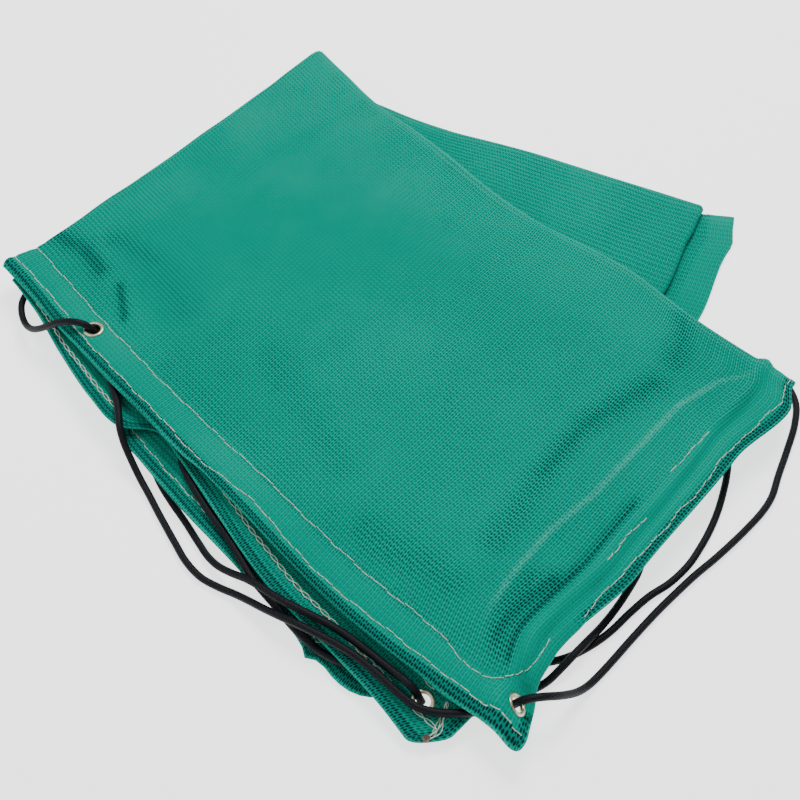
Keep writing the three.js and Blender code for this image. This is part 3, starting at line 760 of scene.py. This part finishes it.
@functools.lru_cache(maxsize=None)
def folded_cloth(wave_height):
    return FoldedCloth(wave_height)


def link(name, mesh, material):
    piece = bpy.data.objects.new(name, mesh)
    bpy.context.scene.collection.objects.link(piece)
    piece.data.materials.clear()
    piece.data.materials.append(material)
    return piece


def shade_smooth(mesh):
    mesh.polygons.foreach_set("use_smooth", np.ones(len(mesh.polygons), bool))


def mesh_of(name, shape):
    """The smooth mesh of a shape, which is used up."""
    mesh = bpy.data.meshes.new(name)
    shape.to_mesh(mesh)
    shape.free()
    shade_smooth(mesh)
    return mesh


def grid_mesh(name, points, uv):
    """A mesh of a grid of points, with its UV map in metres."""
    rows, columns = points.shape[:2]
    shape = bmesh.new()
    bmesh.ops.create_grid(shape, x_segments=columns - 1, y_segments=rows - 1, size=1)
    mesh = mesh_of(name, shape)
    mesh.vertices.foreach_set("co", points.reshape(-1))
    corners = np.empty(len(mesh.loops), np.int32)
    mesh.loops.foreach_get("vertex_index", corners)
    layer = mesh.uv_layers.new(name="UVMap")
    layer.data.foreach_set("uv", uv.reshape(-1, 2)[corners].reshape(-1))
    return mesh


def even_points(line, spacing):
    count = max(int(round(line.length / spacing)), 4)
    return line.at(np.linspace(0, 1, count + 1))


def rolled_tube(name, points, radius, sides):
    """A tube round a line, with u along it and v round it in metres."""
    steps = np.gradient(points, axis=0)
    tangents = steps / np.linalg.norm(steps, axis=1)[:, None]
    side = np.cross(tangents[0], (0, 0, 1))
    turns = np.arange(sides + 1) * TURN / sides
    rings = []
    for point, tangent in zip(points, tangents):
        side = side - tangent * (side @ tangent)
        side = side / np.linalg.norm(side)
        up = np.cross(side, tangent)
        rings.append(point + radius * (np.outer(np.cos(turns), side) + np.outer(np.sin(turns), up)))
    reach = np.concatenate(([0], np.cumsum(np.linalg.norm(np.diff(points, axis=0), axis=1))))
    uv = np.stack(np.meshgrid(reach, turns * radius, indexing="ij"), -1)
    mesh = grid_mesh(name, np.array(rings), uv)
    shape = bmesh.new()
    shape.from_mesh(mesh)
    bmesh.ops.remove_doubles(shape, verts=shape.verts, dist=radius * 0.01)
    open_edges = [edge for edge in shape.edges if edge.is_boundary]
    bmesh.ops.holes_fill(shape, edges=open_edges, sides=sides + 1)
    bmesh.ops.recalc_face_normals(shape, faces=shape.faces)
    shape.to_mesh(mesh)
    shape.free()
    shade_smooth(mesh)
    return mesh


def thread_mesh(name, runs, radius):
    """Thin round threads along many short runs of points, as one mesh."""
    curve = bpy.data.curves.new(name + "_line", "CURVE")
    curve.dimensions = "3D"
    curve.bevel_depth = radius
    curve.bevel_resolution = 1
    curve.use_fill_caps = True
    for run in runs:
        spline = curve.splines.new("POLY")
        spline.points.add(len(run) - 1)
        spline.points.foreach_set("co", np.column_stack((run, np.ones(len(run)))).reshape(-1))
    holder = bpy.data.objects.new(name + "_line", curve)
    bpy.context.scene.collection.objects.link(holder)
    bpy.context.view_layer.update()
    evaluated = holder.evaluated_get(bpy.context.evaluated_depsgraph_get())
    mesh = bpy.data.meshes.new_from_object(evaluated)
    mesh.name = name
    bpy.data.objects.remove(holder)
    bpy.data.curves.remove(curve)
    shade_smooth(mesh)
    return mesh


class Signal:
    """A socket of a material's nodes that can be used in arithmetic."""

    def __init__(self, finish, socket):
        self.finish = finish
        self.socket = socket

    def maths(self, operation, *values):
        return self.finish.node("ShaderNodeMath", {"operation": operation}, (self, *values))

    def __add__(self, other):
        return self.maths("ADD", other)

    def __sub__(self, other):
        return self.maths("SUBTRACT", other)

    def __rsub__(self, other):
        return self.finish.node("ShaderNodeMath", {"operation": "SUBTRACT"}, (other, self))

    def __mul__(self, other):
        return self.maths("MULTIPLY", other)

    def __truediv__(self, other):
        return self.maths("DIVIDE", other)

    __radd__ = __add__
    __rmul__ = __mul__

    def sine(self):
        return self.maths("SINE")

    def size(self):
        return self.maths("ABSOLUTE")

    def most(self, other):
        return self.maths("MAXIMUM", other)

    def least(self, other):
        return self.maths("MINIMUM", other)

    def read(self, table, top, high):
        """The value that a table gives for this one, between 0 and high."""
        stops = [(place / top, (value / high,) * 3) for place, value in table]
        return self.finish.node("ShaderNodeValToRGB", {"stops": stops}, (self / top,)) * high

    def step(self, low, high):
        """0 below low, 1 above high and a soft rise between."""
        settings = {"interpolation_type": "SMOOTHSTEP"}
        return self.finish.node("ShaderNodeMapRange", settings, (self, low, high, 0, 1))


class Finish:
    """A material with one Principled surface and a method that makes any node."""

    def __init__(self, name, roughness, metallic=0, **constants):
        self.material = bpy.data.materials.new(name)
        self.material.use_nodes = True
        self.tree = self.material.node_tree
        self.tree.nodes.clear()
        self.surface = self.tree.nodes.new("ShaderNodeBsdfPrincipled")
        output = self.tree.nodes.new("ShaderNodeOutputMaterial")
        self.tree.links.new(self.surface.outputs[0], output.inputs[0])
        self.surface.inputs["Roughness"].default_value = roughness
        self.surface.inputs["Metallic"].default_value = metallic
        for socket, value in constants.items():
            self.surface.inputs[socket.replace("_", " ")].default_value = value

    def node(self, kind, settings=None, values=(), output=0):
        made = self.tree.nodes.new(kind)
        for key, value in (settings or {}).items():
            if key == "stops":
                self.set_stops(made.color_ramp, value)
            else:
                setattr(made, key, value)
        named = values.items() if isinstance(values, dict) else enumerate(values)
        for key, value in named:
            socket = made.inputs[key]
            if isinstance(value, Signal):
                self.tree.links.new(value.socket, socket)
            else:
                socket.default_value = value
        return Signal(self, made.outputs[output])

    @staticmethod
    def set_stops(ramp, stops):
        while len(ramp.elements) < len(stops):
            ramp.elements.new(1)
        for element, (position, color) in zip(ramp.elements, stops):
            element.position = position
            element.color = (*color, 1)

    def blend(self, part, first, second):
        settings = {"data_type": "RGBA"}
        first, second = (c if isinstance(c, Signal) else (*c, 1) for c in (first, second))
        return self.node("ShaderNodeMix", settings, {0: part, 6: first, 7: second}, output=2)

    def noise(self, place, scale, detail=2):
        values = {"Vector": place, "Scale": scale, "Detail": detail}
        return self.node("ShaderNodeTexNoise", {}, values)

    def uv(self):
        place = self.node("ShaderNodeUVMap", {"uv_map": "UVMap"})
        return [self.node("ShaderNodeSeparateXYZ", {}, (place,), output) for output in (0, 1)]

    def place(self):
        return self.node("ShaderNodeTexCoord", output="Object")

    def attribute(self, name):
        return self.node("ShaderNodeAttribute", {"attribute_name": name}, output="Fac")

    def set(self, socket, signal):
        self.tree.links.new(signal.socket, self.surface.inputs[socket])

    def bump(self, height, distance, strength=1.0):
        values = {"Strength": strength, "Distance": distance, "Height": height}
        self.set("Normal", self.node("ShaderNodeBump", {}, values))


def lattice(u, v, pitch, row):
    """Knitted mesh: its pillars, its cross threads and the holes that they leave, each 0 to 1."""
    across = u * (math.pi / pitch)
    between_pillars = across.sine()
    pillar = 1 - between_pillars * between_pillars
    cross = (v * (TURN / row) + between_pillars * 0.8).sine() * 0.5 + 0.5
    return pillar, cross, (1 - pillar) * (1 - cross)


def cloth_finish(settings):
    """Knitted mesh of pillars across the cloth, cross threads along it and holes between, with a
    painted highlight on the threads and painted shade in the holes.
    """
    pitch, row = settings.pillar_pitch, settings.row_pitch
    color = settings.cloth_color
    finish = Finish("knitted mesh", 0.85, Specular_IOR_Level=0.02)
    place = finish.place()
    u, v = finish.uv()
    drift = finish.noise(place, 9) * MESH_DRIFT
    drift_across = finish.noise(place, 11.5) * MESH_DRIFT
    pillar, cross, gap = lattice(u + drift, v + drift_across, pitch, row)

    # The ply below lies a little askew, and its holes show through the upper ply's, where the
    # painted shade in the holes is deeper
    askew_u = u * 1.06 + v * 0.07 + drift_across * 2
    askew_v = v * 1.05 - u * 0.06 + drift
    _, _, below = lattice(askew_u, askew_v, pitch, row)

    # The hems are calmer than the field, and every other pillar gets a brighter painted highlight
    dark = finish.attribute("darkness")
    calm = dark.step(0.0, 0.12)
    stray = finish.noise(place, 330, 1).step(0.30, 0.70)
    paired = ((u + drift) * (math.pi / pitch) + math.pi / 2).sine() * 0.5 + 0.5
    hole = (gap + dark * 0.16 + stray * 0.12 - 0.06).step(0.20, 0.62)

    tone = finish.noise(place, 7, 4).step(0.32, 0.68)
    thread = finish.blend(tone, [c * 0.88 for c in color], [c * 1.08 for c in color])
    # Painted highlight where the pillars and cross threads catch the light, towards the pillar
    # colour
    lit = (pillar * (0.50 + 0.40 * paired) + cross * (0.10 + 0.30 * dark)) * (0.85 - 0.4 * hole)
    lit = 0.38 + (lit - 0.38) * (0.6 + 0.4 * calm)
    thread = finish.blend(lit, thread, settings.thread_color)
    # Painted shade in the holes, deeper over the holes of the ply below and where it stands clear
    shade = hole * (0.14 + 0.34 * below * stray * (0.3 + 0.7 * calm) + 0.95 * dark)
    # Painted shade on the threads too, where the ply stands far from the one below
    deep = (dark - 0.7).most(0) * 1.3 + dark * 0.08
    thread = finish.blend(deep, thread, settings.hole_color)
    cloth = finish.blend(shade.least(0.97), thread, settings.hole_color)
    # Threads worn pale along the crease, with painted sheen there and on the edges and back fold
    worn = wear_and_sheen(finish, place, u, v) * (1 - 0.5 * hole)
    finish.set("Base Color", finish.blend(worn, cloth, settings.wear_and_sheen_color))
    height = pillar * 0.6 + cross * (0.10 + 0.3 * dark) - hole * (0.35 + 0.65 * dark)
    finish.bump(height * (0.6 + 0.4 * calm), 0.0004, 0.7)
    return finish.material


def wear_and_sheen(finish, place, u, v):
    """How pale the cloth is: thread worn pale with painted sheen along the crease, and painted
    sheen along the outer edges and the back fold.
    """
    fray = finish.noise(place, 420, 2).step(0.38, 0.62)
    crease = (u - v.read(PALE_CREASE, *CREASE_SPAN)).size()
    soft_end = v.step(0.045, 0.11) * (1 - v.step(0.34, 0.41))
    pale = (1 - crease.step(0.0004, 0.0045)) * soft_end * (0.22 + 0.42 * fray)
    # Painted sheen along the outer edges, left out where the far edge lies in shade, and along the
    # back fold
    edge = u.least(v).least(CLOTH_WIDTH - v).least(CLOTH_LENGTH - u)
    start, stop = SHADED_EDGE
    shaded = v.step(0.6, 0.61) * u.step(start, start + 0.02) * (1 - u.step(stop, stop + 0.02))
    rim = (1 - edge.step(0.0008, 0.0026)) * 0.22 * (1 - shaded)
    back = (v - (PLY_WIDTH + BACK_FOLD_LENGTH / 2)).size()
    fold = (1 - back.step(0.002, 0.014)) * 0.18
    return pale.most(rim).most(fold)


def cord_finish(settings):
    """Braided sheath: two sets of strands that cross on the slant."""
    finish = Finish("braided sheath", 0.6, Specular_IOR_Level=0.2)
    u, v = finish.uv()
    along = u * (TURN / STRAND_LENGTH)
    around = v * (TURN * STRANDS_AROUND / (settings.diameter * math.pi))
    right = (along + around).sine()
    left = (along - around).sine()
    strand = right.most(left)
    tone = finish.noise(finish.place(), 180, 3)
    part = strand.step(-0.2, 1) * (0.35 + 0.65 * tone)
    # Painted shade in the grooves between the strands
    finish.set("Base Color", finish.blend(part, settings.groove_shade_color, settings.color))
    finish.set("Roughness", 0.66 - strand.step(0, 1) * 0.16)
    finish.bump(strand + tone * 0.3, 0.00016, 0.6)
    return finish.material


def metal_finish(settings):
    """Rolled and plated brass, a little dull, with fine handling marks."""
    finish = Finish("plated brass", 0.3, 1)
    place = finish.place()
    tone = finish.noise(place, 260, 4)
    marks = finish.noise(place, 1500, 3)
    part = tone.step(0.35, 0.7)
    finish.set("Base Color", finish.blend(part, settings.metal_dull, settings.metal_color))
    finish.set("Roughness", 0.2 + tone * 0.22 + marks * 0.08)
    finish.bump(tone + marks * 0.5, 0.00006, 0.5)
    return finish.material


def thread_finish(name, color, shade_color):
    """Twisted sewing thread, with fine uneven fibres."""
    finish = Finish(name, 0.7, Sheen_Weight=0.3)
    place = finish.place()
    tone = finish.noise(place, 420, 3)
    fibre = finish.noise(place, 3200, 2)
    finish.set("Base Color", finish.blend(tone.step(0.3, 0.72), shade_color, color))
    finish.bump(fibre, 0.0001, 0.6)
    return finish.material


def floor_finish(settings):
    finish = Finish("matt board", 0.8, Emission_Strength=2.0)
    tone = finish.noise(finish.place(), 3, 3)
    low, high = ([c * k for c in settings.floor_color] for k in (0.985, 1.0))
    finish.set("Base Color", finish.blend(tone, low, high))
    finish.set("Emission Color", finish.blend(tone, low, high))
    return finish.material


def length_value(name, description, default):
    return bpy.props.FloatProperty(
        name=name, description=description, default=default, unit="LENGTH",
    )


def color_value(name, description, default):
    return bpy.props.FloatVectorProperty(
        name=name, description=description, default=default, subtype="COLOR", min=0, max=1,
    )


class FoldedNetStage(bpy.types.PropertyGroup):
    """Sizes and colours of the stage."""

    floor_width: length_value("Floor width", "Side of the floor", 24.0)
    floor_color: color_value("Floor colour", "Pale board that the net lies on", (0.86, 0.86, 0.86))
    key_power: bpy.props.FloatProperty(
        name="Key light", description="Power of the large soft light", default=31, unit="POWER",
    )
    sky_strength: bpy.props.FloatProperty(
        name="Room light", description="Strength of the light from all round", default=0.42,
    )


class FoldedNetCloth(bpy.types.PropertyGroup):
    """Sizes and colours of the net."""

    pillar_pitch: length_value("Pillar pitch", "Between pillars", 0.00215)
    row_pitch: length_value("Row pitch", "Between cross threads", 0.0038)
    wave_height: length_value("Wave height", "Height of the soft waves", 0.0028)
    cloth_color: color_value("Cloth colour", "Colour of the knit", (0.0, 0.242, 0.166))
    # The pillar colour is the painted highlight where the light catches the threads
    thread_color: color_value("Pillar colour", "Where the light catches it", (0.0, 0.380, 0.272))
    hole_color: color_value("Hole colour", "Shade seen through the holes", (0.0005, 0.022, 0.026))
    # Worn crease threads, and the painted sheen on the edges and back fold, go towards this colour
    wear_and_sheen_color: color_value("Rubbed colour", "Pale lines of worn thread", (0.06, 0.46, 0.35))


class FoldedNetCord(bpy.types.PropertyGroup):
    """Sizes and colours of the elastic cord."""

    diameter: length_value("Diameter", "Outer diameter of the cord", 0.006)
    color: color_value("Sheath colour", "Colour of the braid", (0.003, 0.0045, 0.009))
    groove_shade_color: color_value("Groove colour", "Shade between the strands", (0.0015, 0.002, 0.004))


class FoldedNetTrim(bpy.types.PropertyGroup):
    """Sizes and colours of the eyelets and the sewing thread."""

    metal_color: color_value("Eyelet colour", "Plated brass", (0.72, 0.68, 0.50))
    metal_dull: color_value("Dull eyelet colour", "Handled brass", (0.50, 0.45, 0.30))
    thread_color: color_value("Thread colour", "Sewing thread", (0.66, 0.76, 0.64))
    thread_shade: color_value("Thread shade", "Sewing thread where soiled", (0.34, 0.50, 0.38))
    knob_color: color_value("Knob colour", "Melted thread", (0.17, 0.09, 0.05))
    knob_shade: color_value("Knob shade", "Melted thread where burnt", (0.04, 0.02, 0.015))


class FOLDEDNET_OT_stage(bpy.types.Operator):
    """Make the camera, the floor and the lights"""

    bl_idname = "folded_net.stage"
    bl_label = "Stage"

    def execute(self, context):
        settings = context.scene.folded_net_stage
        self.add_camera(context)
        shape = bmesh.new()
        bmesh.ops.create_grid(shape, x_segments=1, y_segments=1, size=settings.floor_width / 2)
        link("floor", mesh_of("floor", shape), floor_finish(settings))
        for name, place, width, part in LAMPS:
            self.add_lamp(context, name, place, width, settings.key_power * part)
        world = bpy.data.worlds.new("room")
        world.use_nodes = True
        background = world.node_tree.nodes["Background"]
        background.inputs["Color"].default_value = (1, 1, 1, 1)
        background.inputs["Strength"].default_value = settings.sky_strength
        context.scene.world = world
        return {"FINISHED"}

    @staticmethod
    def add_camera(context):
        camera = bpy.data.cameras.new("camera")
        camera.lens = CAMERA_LENS
        camera.sensor_width = CAMERA_SENSOR
        camera.clip_start = 0.01
        holder = bpy.data.objects.new("camera", camera)
        holder.location = CAMERA_PLACE
        holder.rotation_euler = CAMERA_TURN
        context.scene.collection.objects.link(holder)
        context.scene.camera = holder

    @staticmethod
    def add_lamp(context, name, place, width, power):
        lamp = bpy.data.lights.new(name, "AREA")
        lamp.size = width
        lamp.energy = power
        holder = bpy.data.objects.new(name, lamp)
        holder.location = place
        holder.rotation_euler = Vector(place).to_track_quat("Z", "Y").to_euler()
        context.scene.collection.objects.link(holder)


class FOLDEDNET_OT_cords(bpy.types.Operator):
    """Make the six stretches of elastic cord that show"""

    bl_idname = "folded_net.cords"
    bl_label = "Elastic cord"

    def execute(self, context):
        settings = context.scene.folded_net_cord
        material = cord_finish(settings)
        for node, route in CORD_ROUTES.items():
            places = [(x, y, *(height or (CORD_ON_FLOOR,))) for x, y, *height in route]
            line = Line(np.array(places) - np.array(PLAN_ORIGIN))
            points = even_points(line, CORD_SPACING)
            mesh = rolled_tube(node + "_sheath", points, settings.diameter / 2, CORD_SIDES)
            piece = link(node + "_sheath", mesh, material)
            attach(piece, BODY)
            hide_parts(node)
        return {"FINISHED"}


class FOLDEDNET_OT_cloth(bpy.types.Operator):
    """Make the folded net with its hems"""

    bl_idname = "folded_net.cloth"
    bl_label = "Net"

    def execute(self, context):
        settings = context.scene.folded_net_cloth
        cloth = folded_cloth(settings.wave_height)
        mesh = grid_mesh("net_cloth", cloth.points, cloth.flat)
        attribute = mesh.attributes.new("darkness", "FLOAT", "POINT")
        attribute.data.foreach_set("value", cloth.darkness().reshape(-1))
        piece = link("net_cloth", mesh, cloth_finish(settings))
        group = piece.vertex_groups.new(name="thickness")
        for index, weight in enumerate(self.weights(cloth).reshape(-1)):
            group.add([index], weight, "REPLACE")
        for _, u, v in EYELETS:
            self.pierce(mesh, *cloth.place(u, v))
        solid = piece.modifiers.new("thickness", "SOLIDIFY")
        solid.thickness = HEM_THICKNESS
        solid.offset = 0
        solid.vertex_group = group.name
        solid.thickness_vertex_group = THINNEST_PART
        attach(piece, BODY)
        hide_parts("net")
        return {"FINISHED"}

    @staticmethod
    def weights(cloth):
        _, _, edge = cloth.edge_distances()
        field = (CLOTH_THICKNESS / HEM_THICKNESS - THINNEST_PART) / (1 - THINNEST_PART)
        weights = np.where(edge < HEM_WIDTH, 1, field)
        for reach, weight in reversed(EDGE_WEIGHTS):
            weights = np.where(edge < reach, weight, weights)
        return weights

    @staticmethod
    def pierce(mesh, centre, normal):
        """Open a round hole for an eyelet in the ply at that place."""
        centre, normal = Vector(centre), Vector(normal)
        shape = bmesh.new()
        shape.from_mesh(mesh)
        inside = {}
        for vertex in shape.verts:
            away = vertex.co - centre
            height = away.dot(normal)
            flat = away - height * normal
            if abs(height) < PLY_REACH and flat.length < EYELET_HOLE_RADIUS:
                inside[vertex] = flat
        faces = [f for f in shape.faces if all(v in inside for v in f.verts)]
        bmesh.ops.delete(shape, geom=faces, context="FACES")
        for vertex, flat in inside.items():
            if vertex.is_valid and flat.length > 0:
                vertex.co += flat * (EYELET_HOLE_RADIUS / flat.length - 1)
        shape.to_mesh(mesh)
        shape.free()


class FOLDEDNET_OT_eyelets(bpy.types.Operator):
    """Make the rolled metal eyelets in the hems"""

    bl_idname = "folded_net.eyelets"
    bl_label = "Eyelets"

    def execute(self, context):
        cloth = folded_cloth(context.scene.folded_net_cloth.wave_height)
        material = metal_finish(context.scene.folded_net_trim)
        for node, u, v in EYELETS:
            point, normal = cloth.place(u, v)
            mesh = self.ring(node + "_ring")
            turn = Vector((0, 0, 1)).rotation_difference(Vector(normal)).to_matrix().to_4x4()
            mesh.transform(Matrix.Translation(Vector(point)) @ turn)
            piece = link(node + "_ring", mesh, material)
            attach(piece, BODY)
            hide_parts(node)
        return {"FINISHED"}

    @staticmethod
    def ring(name):
        """A rolled crown in front, a flatter washer behind and the wall between them."""
        seat = HEM_THICKNESS / 2
        middle = (EYELET_BORE_RADIUS + EYELET_FLANGE_RADIUS) / 2
        half = (EYELET_FLANGE_RADIUS - EYELET_BORE_RADIUS) / 2
        wall = EYELET_BORE_RADIUS + EYELET_WALL
        arc = [(half * math.cos(a), math.sin(a)) for a in np.linspace(0, math.pi, EYELET_ARC_STEPS)]
        crown = [(middle - out, seat + EYELET_FLANGE * up) for out, up in arc]
        washer = [(middle + out, -seat - EYELET_BACK_FLANGE * up) for out, up in arc]
        profile = crown + [(wall, seat), (wall, -seat)] + washer
        shape = bmesh.new()
        verts = [shape.verts.new((radius, 0, height)) for radius, height in profile]
        edges = [shape.edges.new(pair) for pair in zip(verts, verts[1:] + verts[:1])]
        bmesh.ops.spin(
            shape, geom=verts + edges, cent=(0, 0, 0), axis=(0, 0, 1), angle=TURN,
            steps=EYELET_STEPS, use_merge=True, use_duplicate=False,
        )
        bmesh.ops.remove_doubles(shape, verts=shape.verts, dist=1e-6)
        bmesh.ops.recalc_face_normals(shape, faces=shape.faces)
        return mesh_of(name, shape)


class FOLDEDNET_OT_sewing(bpy.types.Operator):
    """Sew the hems and leave the thread ends at the lower corner"""

    bl_idname = "folded_net.sewing"
    bl_label = "Sewing"

    def execute(self, context):
        cloth = folded_cloth(context.scene.folded_net_cloth.wave_height)
        trim = context.scene.folded_net_trim
        material = thread_finish("sewing thread", trim.thread_color, trim.thread_shade)
        groups = {
            "hem_stitches": self.plain(cloth),
            "hem_chain_stitches": self.chains(cloth),
            "loose_thread_ends": self.loose_ends(cloth),
        }
        for name, runs in groups.items():
            piece = link(name, thread_mesh(name, runs, THREAD_RADIUS), material)
            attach(piece, BODY)
        self.add_knob(cloth, trim)
        return {"FINISHED"}

    @classmethod
    def add_knob(cls, cloth, trim):
        """The melted lump that closes the loose thread ends."""
        shape = bmesh.new()
        bmesh.ops.create_icosphere(shape, subdivisions=3, radius=KNOB_RADIUS)
        lift = -HEM_THICKNESS / 2 - KNOB_LIFT * KNOB_RADIUS
        centre = cls.on_cloth(cloth, np.array(KNOB_PLACE), lift)
        for vertex in shape.verts:
            spot = vertex.co / KNOB_RADIUS * KNOB_LUMP_FINENESS
            vertex.co = vertex.co * (1 + KNOB_LUMP * noise.noise(spot)) + Vector(centre)
        mesh = mesh_of("melted_thread_knob", shape)
        finish = thread_finish("melted thread", trim.knob_color, trim.knob_shade)
        piece = link("melted_thread_knob", mesh, finish)
        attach(piece, BODY)

    @staticmethod
    def ways(start, finish):
        """Directions on the flat cloth along a step, at its full length, and beside it."""
        ahead = finish - start
        return ahead, np.array([-ahead[1], ahead[0]]) / np.linalg.norm(ahead)

    def steps_of(self, run, length):
        """Each stitch of a sewn line: its number, start, and directions along and beside."""
        line = Line(run)
        for index in range(int(line.length / length)):
            start, finish = line.at(np.array((index, index + 1)) * length / line.length)[:, :2]
            yield index, start, *self.ways(start, finish)

    @staticmethod
    def on_cloth(cloth, place, lift):
        point, normal = cloth.place(*place)
        return point + normal * lift

    def plain(self, cloth):
        wide, narrow = STITCH_SWAY
        for run in PLAIN_RUNS:
            for index, start, ahead, beside in self.steps_of(run, STITCH_LENGTH):
                sway = wide * math.sin(index * 1.7) + narrow * math.sin(index * 0.61)
                points = []
                for part in np.linspace(0.02, 0.98, STITCH_POINTS):
                    lift = THREAD_RISE - STITCH_BITE * abs(2 * part - 1) ** 5
                    bow = sway + STITCH_BOW * math.sin(math.pi * part)
                    points.append(self.on_cloth(cloth, start + ahead * part + beside * bow, lift))
                yield points

    def chains(self, cloth):
        for run in CHAIN_RUNS:
            for index, start, ahead, beside in self.steps_of(run, CHAIN_LENGTH):
                for hand in (-1, 1):
                    yield [
                        self.chain_point(cloth, index, start, ahead, beside, hand, part)
                        for part in np.linspace(-CHAIN_OVERLAP, 1.0, CHAIN_POINTS)
                    ]

    def chain_point(self, cloth, index, start, ahead, beside, hand, part):
        arch = math.sin(math.pi * np.clip(part, 0, 1))
        aside = hand * CHAIN_SPREAD * arch ** 0.7 + CHAIN_SWAY * math.sin(index)
        place = np.maximum(start + ahead * part + beside * aside, EDGE_MARGIN)
        return self.on_cloth(cloth, place, -THREAD_RISE - CHAIN_RISE * arch)

    def loose_ends(self, cloth):
        """Thread ends that run off the lower corner in loose waves."""
        start = np.array(LOOSE_START)
        ahead, beside = self.ways(start, np.array(LOOSE_FINISH))
        for strand in range(LOOSE_STRANDS):
            points = []
            for part in np.linspace(0, 1, LOOSE_POINTS):
                sway = (strand - 2) * LOOSE_SPREAD * math.sin(math.pi * part) ** 0.5
                sway += LOOSE_SWAY * math.sin(9 * part + strand * 1.9)
                lift = -THREAD_RISE - LOOSE_RISE * (1 + math.sin(7 * part + strand * 2.3))
                points.append(self.on_cloth(cloth, start + ahead * part + beside * sway, lift))
            yield points


class FOLDEDNET_PT_sidebar(bpy.types.Panel):
    """Lists the makers of the folded net"""

    bl_idname = "FOLDEDNET_PT_sidebar"
    bl_label = "Folded Net"
    bl_space_type = "VIEW_3D"
    bl_region_type = "UI"
    bl_category = "Folded Net"

    def draw(self, context):
        for maker in MAKERS:
            self.layout.operator(maker.bl_idname)
        for group in SETTINGS:
            for key in SETTINGS[group].__annotations__:
                self.layout.prop(getattr(context.scene, group), key)


SETTINGS = {
    "folded_net_stage": FoldedNetStage,
    "folded_net_cloth": FoldedNetCloth,
    "folded_net_cord": FoldedNetCord,
    "folded_net_trim": FoldedNetTrim,
}
MAKERS = (
    FOLDEDNET_OT_stage,
    FOLDEDNET_OT_cords,
    FOLDEDNET_OT_cloth,
    FOLDEDNET_OT_eyelets,
    FOLDEDNET_OT_sewing,
)


def register():
    for name, group in SETTINGS.items():
        bpy.utils.register_class(group)
        setattr(bpy.types.Scene, name, bpy.props.PointerProperty(type=group))
    for maker in (*MAKERS, FOLDEDNET_PT_sidebar):
        bpy.utils.register_class(maker)


def unregister():
    for maker in (*MAKERS, FOLDEDNET_PT_sidebar):
        bpy.utils.unregister_class(maker)
    for name, group in SETTINGS.items():
        delattr(bpy.types.Scene, name)
        bpy.utils.unregister_class(group)


def main():
    register()
    bpy.ops.folded_net.stage()
    bpy.ops.folded_net.cords()
    bpy.ops.folded_net.cloth()
    bpy.ops.folded_net.eyelets()
    bpy.ops.folded_net.sewing()


if __name__ == "__main__":
    main()
